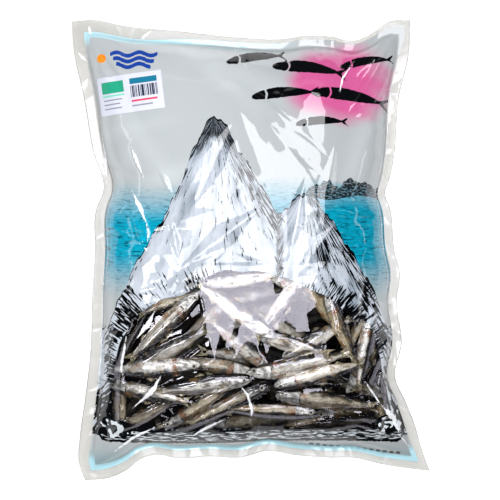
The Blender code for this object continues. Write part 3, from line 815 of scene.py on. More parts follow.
def fan(x, y, centre, upward):
    """Coordinates of pen strokes that spread from a centre: across them and along them, in metres."""
    sense = 1 if upward else -1
    away = np.hypot(x - centre[0], y - centre[1])
    angle = np.arctan2(x - centre[0], sense * (y - centre[1]))
    return angle * STROKE_REACH, away


def gully_share(x, y, gullies):
    """How deep in a gully a point is, from 0 at its edge to 1 in its middle."""
    share = np.zeros(x.shape)
    for middle_x, middle_y, half_x, half_y in gullies:
        off = np.hypot((x / MM - middle_x) / half_x, (y / MM - middle_y) / half_y)
        share = np.maximum(share, 1 - smooth_step(off, 0.35, 1.15))
    return share


def hatch_fields(x, y, fields):
    """Where the pen strokes lie: how dense they are on the slopes and round the window, from 0 to 1, and
    the coordinates that they follow, down from the nearest peak or out from the window."""
    left, right, window = fields["left_island"], fields["right_island"], fields["window"]
    on_left = left > right
    inside = np.maximum(left, right)
    slope_left, slope_right = fan(x, y, LEFT_PEAK, False), fan(x, y, RIGHT_PEAK, False)
    peak_x = np.where(on_left, LEFT_PEAK[0], RIGHT_PEAK[0])

    # Shade: the right sides, a thin edge on the lit left sides, the summits and the valley between
    crag = 7 * MM * triangle_wave(y, 31 * MM, 0.3) + 3 * MM * triangle_wave(y, 11 * MM, 0.1)
    shaded = smooth_step(x - peak_x + crag, -2 * MM, 6 * MM)
    shaded_side = shaded * (0.85 - 0.6 * smooth_step(inside, 6 * MM, 50 * MM))
    lit_side = (1 - shaded) * 0.6 * (1 - smooth_step(inside, 2 * MM, 16 * MM))
    summit = (1 - smooth_step(inside, 12 * MM, 30 * MM)) * smooth_step(y, 66 * MM, 100 * MM)
    valley = 0.9 * (1 - smooth_step(np.abs(left - right), 2 * MM, 15 * MM)) * (inside > 0)
    slope = np.maximum(np.maximum(shaded_side, lit_side), np.maximum(summit, valley))

    # Ribs of rock that run down from the peaks
    across = np.where(on_left, slope_left[0], slope_right[0])
    along = np.where(on_left, slope_left[1], slope_right[1])
    rib = ((across + 3.5 * MM * triangle_wave(along, 41 * MM, 0.2)) / (13 * MM)) % 1
    small_rib = ((across - 2 * MM * triangle_wave(along, 23 * MM, 0.6)) / (5.3 * MM) + 0.4) % 1
    ribs = (0.62 * rib ** 2 + 0.25 * small_rib ** 2) * (0.65 + 0.45 * shaded)
    ribs = ribs * smooth_step(along, 6 * MM, 22 * MM)
    slope = np.maximum(slope, ribs * (1 - 0.5 * smooth_step(along, 90 * MM, 170 * MM)))

    # The window's rim, where the strokes reach farthest at its two sides
    rim_reach = 15 * MM + 28 * MM * smooth_step(np.abs(x - 6 * MM), 34 * MM, 70 * MM)
    rim = 1.0 - smooth_step(-window / rim_reach, 0.04, 1.0)
    rim = rim * (0.35 + 0.65 * smooth_step(np.abs(x - 6 * MM), 34 * MM, 62 * MM))
    rim = np.maximum(rim, gully_share(x, y, WINDOW_GULLIES))
    slope = np.maximum(slope, gully_share(x, y, SLOPE_GULLIES))
    rim = rim * (1 - 0.8 * smooth_step(-y, 84 * MM, 108 * MM) * (x > 0))
    rim_across, rim_along = fan(x, y, WINDOW_CENTRE, True)
    # The right slope reads its noise half a metre on, so that the two slopes have strokes of their own
    return {
        "slope_ink": slope * (inside > -2 * MM), "rim_ink": rim * (inside > 0), "slope_across": across,
        "slope_along": np.where(on_left, slope_left[1], slope_right[1] + 0.5),
        "rim_across": rim_across, "rim_along": rim_along,
    }


def piece_from(bm, name, materials):
    """A finished mesh object at the origin."""
    mesh = bpy.data.meshes.new(name)
    bm.to_mesh(mesh)
    bm.free()
    for material in materials:
        mesh.materials.append(material)
    mesh.shade_smooth()
    obj = bpy.data.objects.new(name, mesh)
    bpy.context.scene.collection.objects.link(obj)
    return obj


def set_points(mesh, points):
    """Moves a mesh's vertices."""
    mesh.vertices.foreach_set("co", np.ascontiguousarray(points, dtype=np.float32).ravel())
    mesh.update()


def get_points(mesh):
    """A mesh's vertices, a row for each."""
    points = np.empty(len(mesh.vertices) * 3, np.float32)
    mesh.vertices.foreach_get("co", points)
    return points.reshape(-1, 3).astype(float)


def set_field(mesh, name, values):
    """A number for each vertex, which the materials read by name."""
    attribute = mesh.attributes.new(name, "FLOAT", "POINT")
    attribute.data.foreach_set("value", np.ascontiguousarray(values, dtype=np.float32))


def set_colours(mesh, name, values):
    """A colour for each vertex, which the materials read by name."""
    attribute = mesh.attributes.new(name, "FLOAT_COLOR", "POINT")
    rgba = np.concatenate([values, np.ones((len(values), 1))], axis=1)
    attribute.data.foreach_set("color", np.ascontiguousarray(rgba, dtype=np.float32).ravel())


def add(tree, kind, links=(), **settings):
    """Adds one shader node. The links fill its inputs, in order or by name or number, with values or with
    other nodes, which give the first output that they use. The settings are the node's own."""
    made = tree.nodes.new("ShaderNode" + kind)
    for name, value in settings.items():
        if name == "stops":
            for _ in value[2:]:
                made.color_ramp.elements.new(0.5)
            for element, (position, colour) in zip(made.color_ramp.elements, value):
                element.position = position
                element.color = (*colour, 1)
        else:
            setattr(made, name, value)
    for name, value in links.items() if isinstance(links, dict) else enumerate(links):
        if isinstance(value, bpy.types.Node):
            value = next(socket for socket in value.outputs if socket.enabled)
        if isinstance(value, bpy.types.NodeSocket):
            tree.links.new(value, made.inputs[name])
        else:
            made.inputs[name].default_value = value
    return made


def painted(tree, colour, *layers):
    """A colour with layers over it. Each layer has its own colour, its strength and the masks that bound
    it."""
    for ink, share, *masks in layers:
        for mask in masks:
            share = add(tree, "Math", (share, mask), operation="MULTIPLY")
        if not isinstance(ink, bpy.types.Node):
            ink = (*ink, 1)
        colour = add(tree, "Mix", {0: share, 6: colour, 7: ink}, data_type="RGBA")
    return colour


def new_material(name):
    """An empty material and its node tree, with only an output."""
    material = bpy.data.materials.new(name)
    material.use_nodes = True
    tree = material.node_tree
    tree.nodes.clear()
    return material, tree


def film_material(colours):
    """Printed pouch film: clear polyester over silver-grey and coloured gravure ink. It gives the eye
    sharp white reflections over a satin ground, and in the window and the seals only the reflections."""
    material, tree = new_material("Gravure-printed polyester film")
    place = add(tree, "TexCoord").outputs["Object"]
    read = {name: add(tree, "Attribute", attribute_name=name).outputs["Fac"] for name in FILM_FIELDS}
    grain = {name: add(tree, "TexNoise", {"Vector": place, "Scale": 1 / (size * MM), "Detail": detail})
             for name, size, detail in FILM_GRAINS}

    def marks(length, width, detail, turn=0.0):
        """Noise drawn out over the film, as marks of a length and a width in millimetres."""
        where = add(tree, "Mapping", {
            "Vector": place, "Scale": (1 / (length * MM), 1 / (width * MM), 1), "Rotation": (0, 0, turn)})
        return add(tree, "TexNoise", {"Vector": where, "Scale": 1.0, "Detail": detail})

    def strokes(kind, width, length, detail=2.0):
        """Noise drawn out along the pen strokes of one fan."""
        across = add(tree, "Math", (read[kind + "_across"], 1 / width), operation="MULTIPLY")
        along = add(tree, "Math", (read[kind + "_along"], 1 / length), operation="MULTIPLY")
        where = add(tree, "CombineXYZ", (across, along))
        return add(tree, "TexNoise", {"Vector": where, "Scale": 1.0, "Detail": detail})

    def inked(name, edge):
        """A mask of a field's positive side, with an edge that the given noise roughens."""
        reach = add(tree, "Math", (read[name], edge), operation="ADD")
        return add(tree, "Math", (reach, 0.0), operation="GREATER_THAN")

    colour = add(tree, "Attribute", attribute_name="soft_colour").outputs["Color"]

    # The sea: short dark ripples, longer across than along, paler glints, and a chop in its brightness
    ripple = add(tree, "Math", (marks(9, 1.9, 3.0), 0.60), operation="GREATER_THAN")
    glint = add(tree, "Math", (marks(13, 2.6, 2.0, 0.1), 0.64), operation="GREATER_THAN")
    colour = painted(tree, colour, (linear("#0A4F63"), 0.85, ripple, read["sea_depth"]),
                     (linear("#5FA9B8"), 0.25, glint, read["sea_depth"]))
    chop = add(tree, "Math", (marks(5.5, 1.6, 5.0, -0.05), 0.5), operation="SUBTRACT")
    swing = add(tree, "Math", (read["sea_depth"], 1.5), operation="MULTIPLY")
    choppy = add(tree, "Math", (chop, swing, 1.0), operation="MULTIPLY_ADD")
    colour = add(tree, "VectorMath", {0: colour, "Scale": choppy}, operation="SCALE")

    # Islands: pale fill, grey washes down the slopes, pen outline and pen strokes
    rough = add(tree, "Math", (grain["edge"], 1.6 * MM, -0.8 * MM), operation="MULTIPLY_ADD")
    on_rock = add(tree, "Math", (inked("left_island", rough), inked("right_island", rough)),
                  operation="MAXIMUM")
    far = inked("far_island", rough)
    stipple = add(tree, "Math", (marks(3.2, 1.3, 3.0, 0.2), 0.47), operation="GREATER_THAN")
    wash = add(tree, "MapRange", {
        "Value": strokes("slope", 15 * MM, 48 * MM, 3.0), "From Min": 0.46, "From Max": 0.66})
    tone = add(tree, "Math", (wash, read["slope_ink"]), operation="ADD")
    tone = add(tree, "Math", (tone, 0.55), operation="MULTIPLY", use_clamp=True)
    colour = painted(tree, colour, (linear("#4C6068"), 0.75, far), (colours.ink, 0.92, stipple, far),
                     (colours.snow, 1.0, on_rock), (linear("#66727E"), 1.0, tone, read["middle"], on_rock))
    broken = add(tree, "Math", (grain["broken"], 0.44), operation="GREATER_THAN")
    for side, other in (("right_island", "left_island"), ("left_island", "right_island")):
        line = add(tree, "Math", (read[side], 0.0, OUTLINE_HALF), operation="COMPARE")
        in_front = add(tree, "Math", (read[other], LINE_DEPTH), operation="LESS_THAN")
        colour = painted(tree, colour, (colours.ink, 1.0, line, broken, in_front))
    clump = add(tree, "MapRange", {
        "Value": grain["clump"], "From Min": 0.40, "From Max": 0.58, "To Min": 0.35, "To Max": 1.12})
    for kind, width, length, share in (("slope", 1.7 * MM, 17 * MM, 1.0), ("rim", 1.4 * MM, 19 * MM, clump)):
        density = add(tree, "Math", (read[kind + "_ink"], share), operation="MULTIPLY")
        level = add(tree, "Math", (density, -0.33, 0.76), operation="MULTIPLY_ADD")
        drawn = add(tree, "Math", (strokes(kind, width, length), level), operation="GREATER_THAN")
        colour = painted(tree, colour, (colours.ink, 1.0, drawn, on_rock))

    # Frayed cord under the window: dark, with pale fibres along it and edges of solid ink. Its knots are
    # black, with white lobes where the light falls
    fibres = add(tree, "MapRange", {"Value": marks(9, 1.1, 4.0, 0.06), "From Min": 0.51, "From Max": 0.57})
    lobes = add(tree, "Math", (grain["lobes"], 0.57), operation="GREATER_THAN")
    fibres = add(tree, "Mix", {0: inked("knots", 0.0), 2: fibres, 3: lobes})
    within = add(tree, "Math", (read["cord"], 2.2 * MM), operation="GREATER_THAN")
    cord = painted(tree, (*colours.ink, 1), (linear("#CDD5D9"), 1.0, fibres, within))
    frayed = add(tree, "Math", (rough, 1.6), operation="MULTIPLY")

    # Over the cord: brush fish, the wave mark and its sun, the rule, and where the print ends at the head's
    # and the foot's seals a pale cyan line
    bristle = add(tree, "Math", (grain["bristle"], 1.5 * MM, -0.75 * MM), operation="MULTIPLY_ADD")
    edge_line = add(tree, "Math", (read["inward"], 2.6 * MM, 2.6 * MM), operation="COMPARE")
    colour = painted(
        tree, colour, (cord, 1.0, inked("cord", frayed)), (colours.ink, 1.0, inked("brush", bristle)),
        (linear("#1B3F93"), 1.0, inked("waves", 0.0)), (linear("#F08A24"), 1.0, inked("sun", 0.0)),
        (colours.ink, 1.0, inked("rule", 0.0)), (linear("#AEDCE6"), 0.75, edge_line, read["end"]))
    ink_grain = add(tree, "Math", (grain["ink"], 0.10, 0.95), operation="MULTIPLY_ADD")
    colour = add(tree, "VectorMath", {0: colour, "Scale": ink_grain}, operation="SCALE")

    # Sharp creases: a thin ridge, and a painted highlight along it, white where the noise lets it through
    crest = add(tree, "MapRange", {"Value": read["crease"], "From Min": 1.5, "From Max": 0.0})
    painted_glint = add(tree, "Math", (grain["glint_break"], 0.7, crest), operation="MULTIPLY_ADD")
    painted_glint = add(tree, "Math", (painted_glint, 1.0), operation="GREATER_THAN")
    ridged = add(tree, "Math", (crest, 0.9), operation="MULTIPLY")
    height = add(tree, "Math", (grain["bump"], 0.16, ridged), operation="MULTIPLY_ADD")
    bump = add(tree, "Bump", {"Strength": 1.0, "Distance": 0.5 * MM, "Height": height})
    ink = add(tree, "BsdfPrincipled", {
        "Base Color": colour, "Roughness": 0.5, "Normal": bump, "Specular IOR Level": 0.0,
        "Coat Weight": 1.0, "Coat Roughness": 0.045, "Coat IOR": 1.5, "Coat Normal": bump})

    # Clear film: what it doesn't reflect goes through, less the share that the seals' milkiness scatters.
    # Its two faces reflect, and the index stands for both
    reflect = add(tree, "Fresnel", {"IOR": 1.74, "Normal": bump})
    gloss = add(tree, "BsdfGlossy", {
        "Color": (*linear("#DEDBE7"), 1), "Roughness": 0.045, "Normal": bump})
    in_seal = add(tree, "Math", (read["inward"], 0.0), operation="LESS_THAN")
    # Painted shade: the seal at the head is tinted darker, against the light that brightens it
    sealed = painted(tree, (*linear("#F1F0ED"), 1), (linear("#E2E1DE"), 1.0, read["head"]))
    through = add(tree, "BsdfTransparent", {
        "Color": painted(tree, (*linear("#FCFCFD"), 1), (sealed, 1.0, in_seal))})
    milk = add(tree, "BsdfDiffuse", {
        "Color": painted(tree, (*linear("#E7E7F1"), 1), (linear("#D4D4D0"), 1.0, in_seal))})
    haze = add(tree, "Math", (in_seal, 0.34), operation="MULTIPLY")
    cloudy = add(tree, "MixShader", (haze, through, milk))
    # The hot bar has dulled the seals
    dulled = add(tree, "Math", (read["dulled"], 0.46, 0.40), operation="MULTIPLY_ADD")
    dulled = add(tree, "Math", (in_seal, dulled), operation="MULTIPLY")
    bright = add(tree, "Math", (1.0, dulled), operation="SUBTRACT")
    shine = add(tree, "Math", (reflect, bright), operation="MULTIPLY")
    clear = add(tree, "MixShader", (shine, cloudy, gloss))

    unprinted = add(tree, "Math", (inked("window", rough), in_seal), operation="MAXIMUM")
    printed = add(tree, "MixShader", (unprinted, ink, clear))
    # The white of the painted highlight on the creases, which stands for their glint
    white = add(tree, "BsdfPrincipled", {"Base Color": (*linear("#F2F4F6"), 1), "Roughness": 0.35})
    glint_share = add(tree, "Math", (painted_glint, 0.85), operation="MULTIPLY")
    add(tree, "OutputMaterial", (add(tree, "MixShader", (glint_share, printed, white)),))
    return material


def make_film(sizes, colours):
    """The pouch as one closed surface: a fine front, a plain back, joined all round at the cut edge."""
    bm = bmesh.new()
    bmesh.ops.create_grid(bm, x_segments=FRONT_GRID[0], y_segments=FRONT_GRID[1], size=0.5)
    bmesh.ops.translate(bm, verts=bm.verts[:], vec=(0, 0, 1))
    bmesh.ops.create_grid(bm, x_segments=BACK_GRID[0], y_segments=BACK_GRID[1], size=0.5)
    bmesh.ops.bridge_loops(bm, edges=[edge for edge in bm.edges if edge.is_boundary])
    bmesh.ops.recalc_face_normals(bm, faces=bm.faces[:])
    film = piece_from(bm, "film", [film_material(colours)])

    flat = get_points(film.data)
    u, v, front = flat[:, 0] + 0.5, flat[:, 1] + 0.5, flat[:, 2] > 0.5
    above, below = front_points(u, v, sizes.fold_height), back_points(u, v, sizes.fold_height)
    points = np.where(front[:, None], above, below)
    low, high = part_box("bag")
    middle = (points[:, :2].min(axis=0) + points[:, :2].max(axis=0)) / 2
    points[:, 0] += (low.x + high.x) / 2 - middle[0]
    points[:, 1] += (low.y + high.y) / 2 - middle[1]
    set_points(film.data, points)

    x, y = points[:, 0], points[:, 1]
    inward = np.minimum((0.5 - np.abs(u - 0.5)) * POUCH_WIDTH, (0.5 - np.abs(v - 0.5)) * POUCH_HEIGHT)
    inward += 1.2 * MM * np.sin(u * 9 + 1) * np.sin(v * 7)
    fields = print_fields(x, y)
    for name, values in fields.items():
        set_field(film.data, name, np.where(front, values, -1.0))
    for name, values in hatch_fields(x, y, fields).items():
        set_field(film.data, name, np.where(front, values, 0.0))
    # The print runs nearer to the cut edge along the head's right and the foot's right
    near_head = smooth_step(v, 0.90, 0.97) * smooth_step(u, 0.18, 0.45)
    near_foot = (1 - smooth_step(v, 0.03, 0.10)) * (0.7 + 0.3 * smooth_step(u, 0.30, 0.60))
    head_seal = smooth_step(v, 0.88, 0.95)
    set_field(film.data, "head", head_seal)
    set_field(film.data, "dulled", np.maximum(head_seal, 0.6 * (1 - smooth_step(v, 0.03, 0.10))))
    set_field(film.data, "middle", 1 - 0.7 * smooth_step(np.abs(x), 95 * MM, 120 * MM))
    set_field(film.data, "inward", inward - SEAL_WIDTH * (0.9 - 0.52 * near_head - 0.30 * near_foot))
    head_right = smooth_step(u, 0.45, 0.7) * (v > 0.5)
    set_field(film.data, "end", smooth_step(np.abs(v - 0.5), 0.44, 0.46) * (1 - head_right))
    set_field(film.data, "crease", np.where(front, crease_distance(x, y), NO_CREASE))
    soft, depth = print_colours(x, y, colours)
    set_field(film.data, "sea_depth", np.where(front, depth, 0.0))
    set_colours(film.data, "soft_colour", np.where(front[:, None], soft, np.array(colours.ground)))
    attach(film, "root")
    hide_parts("bag")
    return film


def fish_template():
    """One fish before it is shaped: a mesh, and for each vertex its part and its place on that part."""
    bm = bmesh.new()
    part = bm.verts.layers.int.new("part")
    made = bmesh.ops.create_uvsphere(bm, u_segments=BODY_SIDES, v_segments=BODY_RINGS, radius=1)
    for vert in made["verts"]:
        vert[part] = BODY
    for number, cuts in FIN_CUTS:
        start = set(bm.verts)
        bmesh.ops.create_grid(bm, x_segments=cuts[0], y_segments=cuts[1], size=1)
        sheet = [face for face in bm.faces if face.verts[0] not in start]
        bmesh.ops.extrude_face_region(bm, geom=sheet, use_keep_orig=True)
        fresh = [vert for vert in bm.verts if vert not in start]
        half = len(fresh) // 2
        for index, vert in enumerate(fresh):
            vert[part] = number
            vert.co.z = -1 if index < half else 1
        if number == PECTORAL and any(vert[part] == PECTORAL for vert in start):
            for vert in fresh:
                vert[part] = -PECTORAL
    for side in (1, -1):
        start = set(bm.verts)
        bmesh.ops.create_uvsphere(bm, u_segments=EYE_SIDES, v_segments=EYE_RINGS, radius=1)
        for vert in bm.verts:
            if vert not in start:
                vert[part] = side * EYE
    for face in bm.faces:
        face.material_index = 1 if abs(face.verts[0][part]) == EYE else 0
    bmesh.ops.recalc_face_normals(bm, faces=bm.faces[:])
    parts = np.array([vert[part] for vert in bm.verts])
    places = np.array([vert.co[:] for vert in bm.verts])
    mesh = bpy.data.meshes.new("fish template")
    bm.to_mesh(mesh)
    bm.free()
    return mesh, parts, places


def shaped_fish(parts, places, draw):
    """One fish as points of unit length, snout at 0 and back towards +Y, and its fields along and up the
    body."""
    points = np.zeros_like(places)
    along = np.zeros(len(places))
    up = np.zeros(len(places))
    deep, wide = draw.uniform(0.98, 1.20), draw.uniform(0.85, 1.15)

    def outline(t):
        sunk = t * 1000
        return (curve_through(FISH_BACK, sunk) * deep, curve_through(FISH_BELLY, sunk) * deep,
                curve_through(FISH_SIDE, sunk) * wide)

    body = parts == BODY
    ring = np.clip((1 - places[body, 2]) / 2, 0, 1)
    t = BODY_END * ring ** 1.25
    angle = np.arctan2(places[body, 1], places[body, 0])
    back, belly, side = outline(t)
    height, width = np.sin(angle), np.cos(angle)
    round_off = np.abs(height) ** 0.92 * np.sign(height)
    radial = np.ones(len(t))
    for wave, turns, size in DRY_WAVES:
        phase = draw.uniform(0, 2 * math.pi)
        radial += size * np.sin(wave * 2 * math.pi * t * draw.uniform(0.8, 1.2) + turns * angle + phase)
    behind_gill = np.clip((t - GILL - 0.012 * height ** 2) / 0.02, 0, 1)
    gill = np.where(t < GILL + 0.01, 1 + 0.10 * smooth_step(t, 0.12, GILL), 1.0)
    gill = np.where(behind_gill > 0, 0.90 + 0.10 * smooth_step(t, GILL + 0.02, GILL + 0.10), gill)
    flank = 1 - draw.uniform(0.0, 0.22) * np.exp(-((t - 0.52) / 0.2) ** 2) * np.abs(width) ** 2
    points[body, 0] = t + 0.010 * np.abs(height) * (t < 0.02)
    points[body, 1] = np.where(height > 0, back, belly) * round_off * radial
    points[body, 2] = side * width * radial * gill * flank
    along[body], up[body] = t, height

    tail = parts == TAIL
    s, q = (places[tail, 0] + 1) / 2, places[tail, 1]
    reach = TAIL_REACH - TAIL_NOTCH * (1 - np.abs(q)) ** 0.8
    curl = draw.uniform(-TAIL_CURL, TAIL_CURL)
    points[tail, 0] = TAIL_START + s * reach
    points[tail, 1] = q * (TAIL_HALF_HEIGHT + TAIL_SPREAD * s ** 0.9) * deep
    points[tail, 2] = places[tail, 2] * (0.0065 * (1 - s) + 0.0012) + curl * s * s * q + curl * s * s
    along[tail], up[tail] = 0.93 + 0.05 * s, q * 0.4

    for number, root, span, lift, sweep in MIDDLE_FINS:
        fin = parts == number
        s, q = (places[fin, 0] + 1) / 2, (places[fin, 1] + 1) / 2
        base_back, base_belly, _ = outline(root + span * s)
        base = base_back - 0.006 if lift > 0 else -(base_belly - 0.006)
        points[fin, 0] = root + span * s * (1 - 0.45 * q) + sweep * q
        points[fin, 1] = base + lift * q * (1 - 0.6 * s)
        points[fin, 2] = places[fin, 2] * 0.0018 * (1 - 0.6 * q) + 0.012 * q * draw.uniform(-1, 1)
        along[fin], up[fin] = 0.95, 0.3
    for side_sign in (1, -1):
        fin = parts == side_sign * PECTORAL
        s, q = (places[fin, 0] + 1) / 2, places[fin, 1]
        points[fin, 0] = SIDE_FIN_PLACE[0] + SIDE_FIN_LENGTH * s
        points[fin, 1] = SIDE_FIN_PLACE[1] - 0.012 * s + q * (0.004 + 0.011 * s)
        points[fin, 2] = side_sign * (0.034 * wide + 0.012 * s) + places[fin, 2] * SIDE_FIN_THICKNESS
        along[fin], up[fin] = 0.95, -0.4
        eye = parts == side_sign * EYE
        _, _, eye_side = outline(np.array([EYE_PLACE[0]]))
        reach = EYE_RADIUS * draw.uniform(0.9, 1.1)
        points[eye, 0] = EYE_PLACE[0] + places[eye, 0] * reach
        points[eye, 1] = EYE_PLACE[1] + places[eye, 1] * reach
        points[eye, 2] = side_sign * (eye_side[0] * 0.86) + places[eye, 2] * reach * 0.5
        along[eye] = np.hypot(places[eye, 0], places[eye, 1])
        up[eye] = 0
    return points, along, up


def half_sizes(t, roll, length):
    """Half width across and half height upward of a fish that is rolled about its length."""
    deep = (curve_through(FISH_BACK, t * 1000) + curve_through(FISH_BELLY, t * 1000)) / 2 * length
    wide = curve_through(FISH_SIDE, t * 1000) * length
    cos, sin = math.cos(roll), math.sin(roll)
    return np.hypot(deep * cos, wide * sin), np.hypot(deep * sin, wide * cos)


class Heap:
    """The space under the film on a fine grid. Each fish goes as high as the film and the earlier fish let
    it."""

    def __init__(self, film):
        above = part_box("bag")[1].z * 2
        self.xs, self.ys = (np.arange(*reach, HEAP_CELL) for reach in HEAP_REACH)
        self.x, self.y = np.meshgrid(self.xs, self.ys)
        tree = BVHTree.FromObject(film, bpy.context.evaluated_depsgraph_get())
        self.ceiling = np.full(self.x.shape, 0.01)
        self.floor = np.full(self.x.shape, 0.01)
        for index in np.ndindex(self.x.shape):
            spot = Vector((self.x[index], self.y[index], above))
            hit, _, _, _ = tree.ray_cast(spot, Vector((0, 0, -1)))
            if hit is not None:
                self.ceiling[index] = hit.z - FILM_GAP
                under, _, _, _ = tree.ray_cast(hit - Vector((0, 0, 1 * MM)), Vector((0, 0, -1)))
                self.floor[index] = under.z if under is not None else hit.z - 1 * MM
        self.film = self.ceiling.copy()

    def room_at(self, x, y):
        """How far apart the two films stand at a place."""
        column, row = round((x - self.xs[0]) / HEAP_CELL), round((y - self.ys[0]) / HEAP_CELL)
        if not (0 <= column < len(self.xs) and 0 <= row < len(self.ys)):
            return 0.0
        return self.film[row, column] - self.floor[row, column]

    def seat(self, x, y, heading, length, roll, bend):
        """The highest place for a fish: how high it lies, then its middle's height, its pitch and the curve
        of its back, then the cells that it covers, with their place along it and its half height there."""
        cos, sin = math.cos(heading), math.sin(heading)
        s = (self.x - x) * cos + (self.y - y) * sin
        d = -(self.x - x) * sin + (self.y - y) * cos - bend * (s * s - (length / 2) ** 2 / 3)
        t = np.clip(s / length + 0.5, 0, BODY_END)
        wide, high = half_sizes(t, roll, length)
        share = 1 - (d / np.maximum(wide, 1e-6)) ** 2
        inside = (share > 0) & (np.abs(s) < length * TRIED_SHARE)
        if not inside.any():
            return None
        s, top = s[inside], (high * np.sqrt(np.maximum(share, 0)))[inside]
        room = self.ceiling[inside] - top
        best = None
        for curve in SEAT_CURVES:
            for pitch in SEAT_PITCHES:
                lift = (room - pitch * s - curve * s * s).min()
                score = (lift + pitch * s + curve * s * s).mean() - PITCH_COST * abs(pitch)
                if best is None or score > best[0]:
                    best = (score, lift, pitch, curve)
        score, lift, pitch, curve = best
        return score, lift, pitch, curve, inside, s, top

    def films_at(self, points):
        """Heights of the front and of the back film at points, with the gap that the fish keep."""
        columns = np.clip((points[:, 0] - self.xs[0]) / HEAP_CELL, 0, len(self.xs) - 1.001)
        rows = np.clip((points[:, 1] - self.ys[0]) / HEAP_CELL, 0, len(self.ys) - 1.001)
        column, row = columns.astype(int), rows.astype(int)
        fx, fy = columns - column, rows - row

        def level(grid):
            low = grid[row, column] * (1 - fx) + grid[row, column + 1] * fx
            return low * (1 - fy) + (grid[row + 1, column] * (1 - fx) + grid[row + 1, column + 1] * fx) * fy

        top = level(self.film)
        return top, np.minimum(level(self.floor) + FILM_GAP, top - 0.2 * MM)

    def place(self, seat):
        """Takes the fish's space away from what lies below it."""
        _, lift, pitch, curve, inside, s, top = seat
        under = lift + pitch * s + curve * s * s - top + NESTING
        self.ceiling[inside] = np.minimum(self.ceiling[inside], under)


def fill_heap(heap, extra):
    """Seats the fish that press against the film, and then those that fill the gaps between them. Each
    gets its place, its lie and the brightness and oil of its skin."""
    draw = random.Random(FISH_SEED + 1)
    seated = []

    def lie(spread, on_edge):
        """Roll about the length, with either flank up, and the bend of the back."""
        roll = draw.gauss(0, spread)
        if draw.random() < on_edge:
            roll += draw.choice((-1, 1)) * math.pi / 2
        return roll + (math.pi if draw.random() < 0.5 else 0), draw.uniform(-BEND_MOST, BEND_MOST)

    def skin():
        return min(1.0, max(0.0, draw.gauss(*BRIGHTNESS))), min(1.0, max(0.0, draw.gauss(*OILINESS)))

    named = SHOWN_FISH + GAP_FISH
    places = [(x * MM, y * MM, math.radians(degrees), length * MM) for x, y, degrees, length, _, _ in named]
    places += [place[:4] for place in sorted(fish_places(), key=lambda fish: fish[4])[len(SHOWN_FISH):]]
    for number, (x, y, heading, length) in enumerate(places):
        roll, bend = lie(*(SHOWN_LIE if number < len(named) else OTHER_LIE))
        bright, oil = named[number][4:] if number < len(named) else skin()
        x, y = kept_inside(heap, x, y, heading, length)
        seat = heap.seat(x, y, heading, length, roll, bend)
        if seat is not None:
            heap.place(seat)
            seated.append((x, y, heading, length, roll, bend, *seat[1:4], bright, oil))
    for _ in range(extra):
        best = None
        for _ in range(GAP_TRIES):
            up = draw.random()
            half = HEAP_HALF_WIDTH * (1 - 0.45 * up ** 3)
            x, y = draw.uniform(-half, half), HEAP_LOW + up * (HEAP_HIGH - HEAP_LOW)
            heading = fish_heading(x, y) + draw.gauss(0, GAP_TURN) + (math.pi if draw.random() < 0.5 else 0)
            length = draw.uniform(*FISH_LENGTH)
            roll, bend = lie(*OTHER_LIE)
            x, y = kept_inside(heap, x, y, heading, length)
            seat = heap.seat(x, y, heading, length, roll, bend)
            if seat is None:
                continue
            row, column = int((y - heap.ys[0]) / HEAP_CELL), int((x - heap.xs[0]) / HEAP_CELL)
            depth = seat[0] - heap.film[row, column]
            if best is None or depth > best[0]:
                best = (depth, seat, (x, y, heading, length, roll, bend))
        if best is not None:
            heap.place(best[1])
            seated.append((*best[2], *best[1][1:4], *skin()))
    return seated


def kept_inside(heap, x, y, heading, length):
    """The nearest place towards the heap's middle where both of a fish's ends have room."""
    reach_x, reach_y = math.cos(heading) * length / 2, math.sin(heading) * length / 2
    for _ in range(MOVE_STEPS):
        if min(heap.room_at(x - reach_x, y - reach_y), heap.room_at(x + reach_x, y + reach_y)) > END_ROOM:
            break
        x += (HEAP_MIDDLE[0] - x) * MOVE_SHARE
        y += (HEAP_MIDDLE[1] - y) * MOVE_SHARE
    return x, y


def laid_fish(points, place):
    """A shaped fish, sized, bent, rolled and laid where the heap seats it."""
    x, y, heading, length, roll, bend, lift, pitch, curve = place
    s = (points[:, 0] - 0.5) * length
    back, side = points[:, 1] * length, points[:, 2] * length
    d = back * math.cos(roll) - side * math.sin(roll) + bend * (s * s - (length / 2) ** 2 / 3)
    z = back * math.sin(roll) + side * math.cos(roll) + lift + pitch * s + curve * s * s
    cos, sin = math.cos(heading), math.sin(heading)
    return np.stack([x + s * cos - d * sin, y + s * sin + d * cos, z], axis=-1)


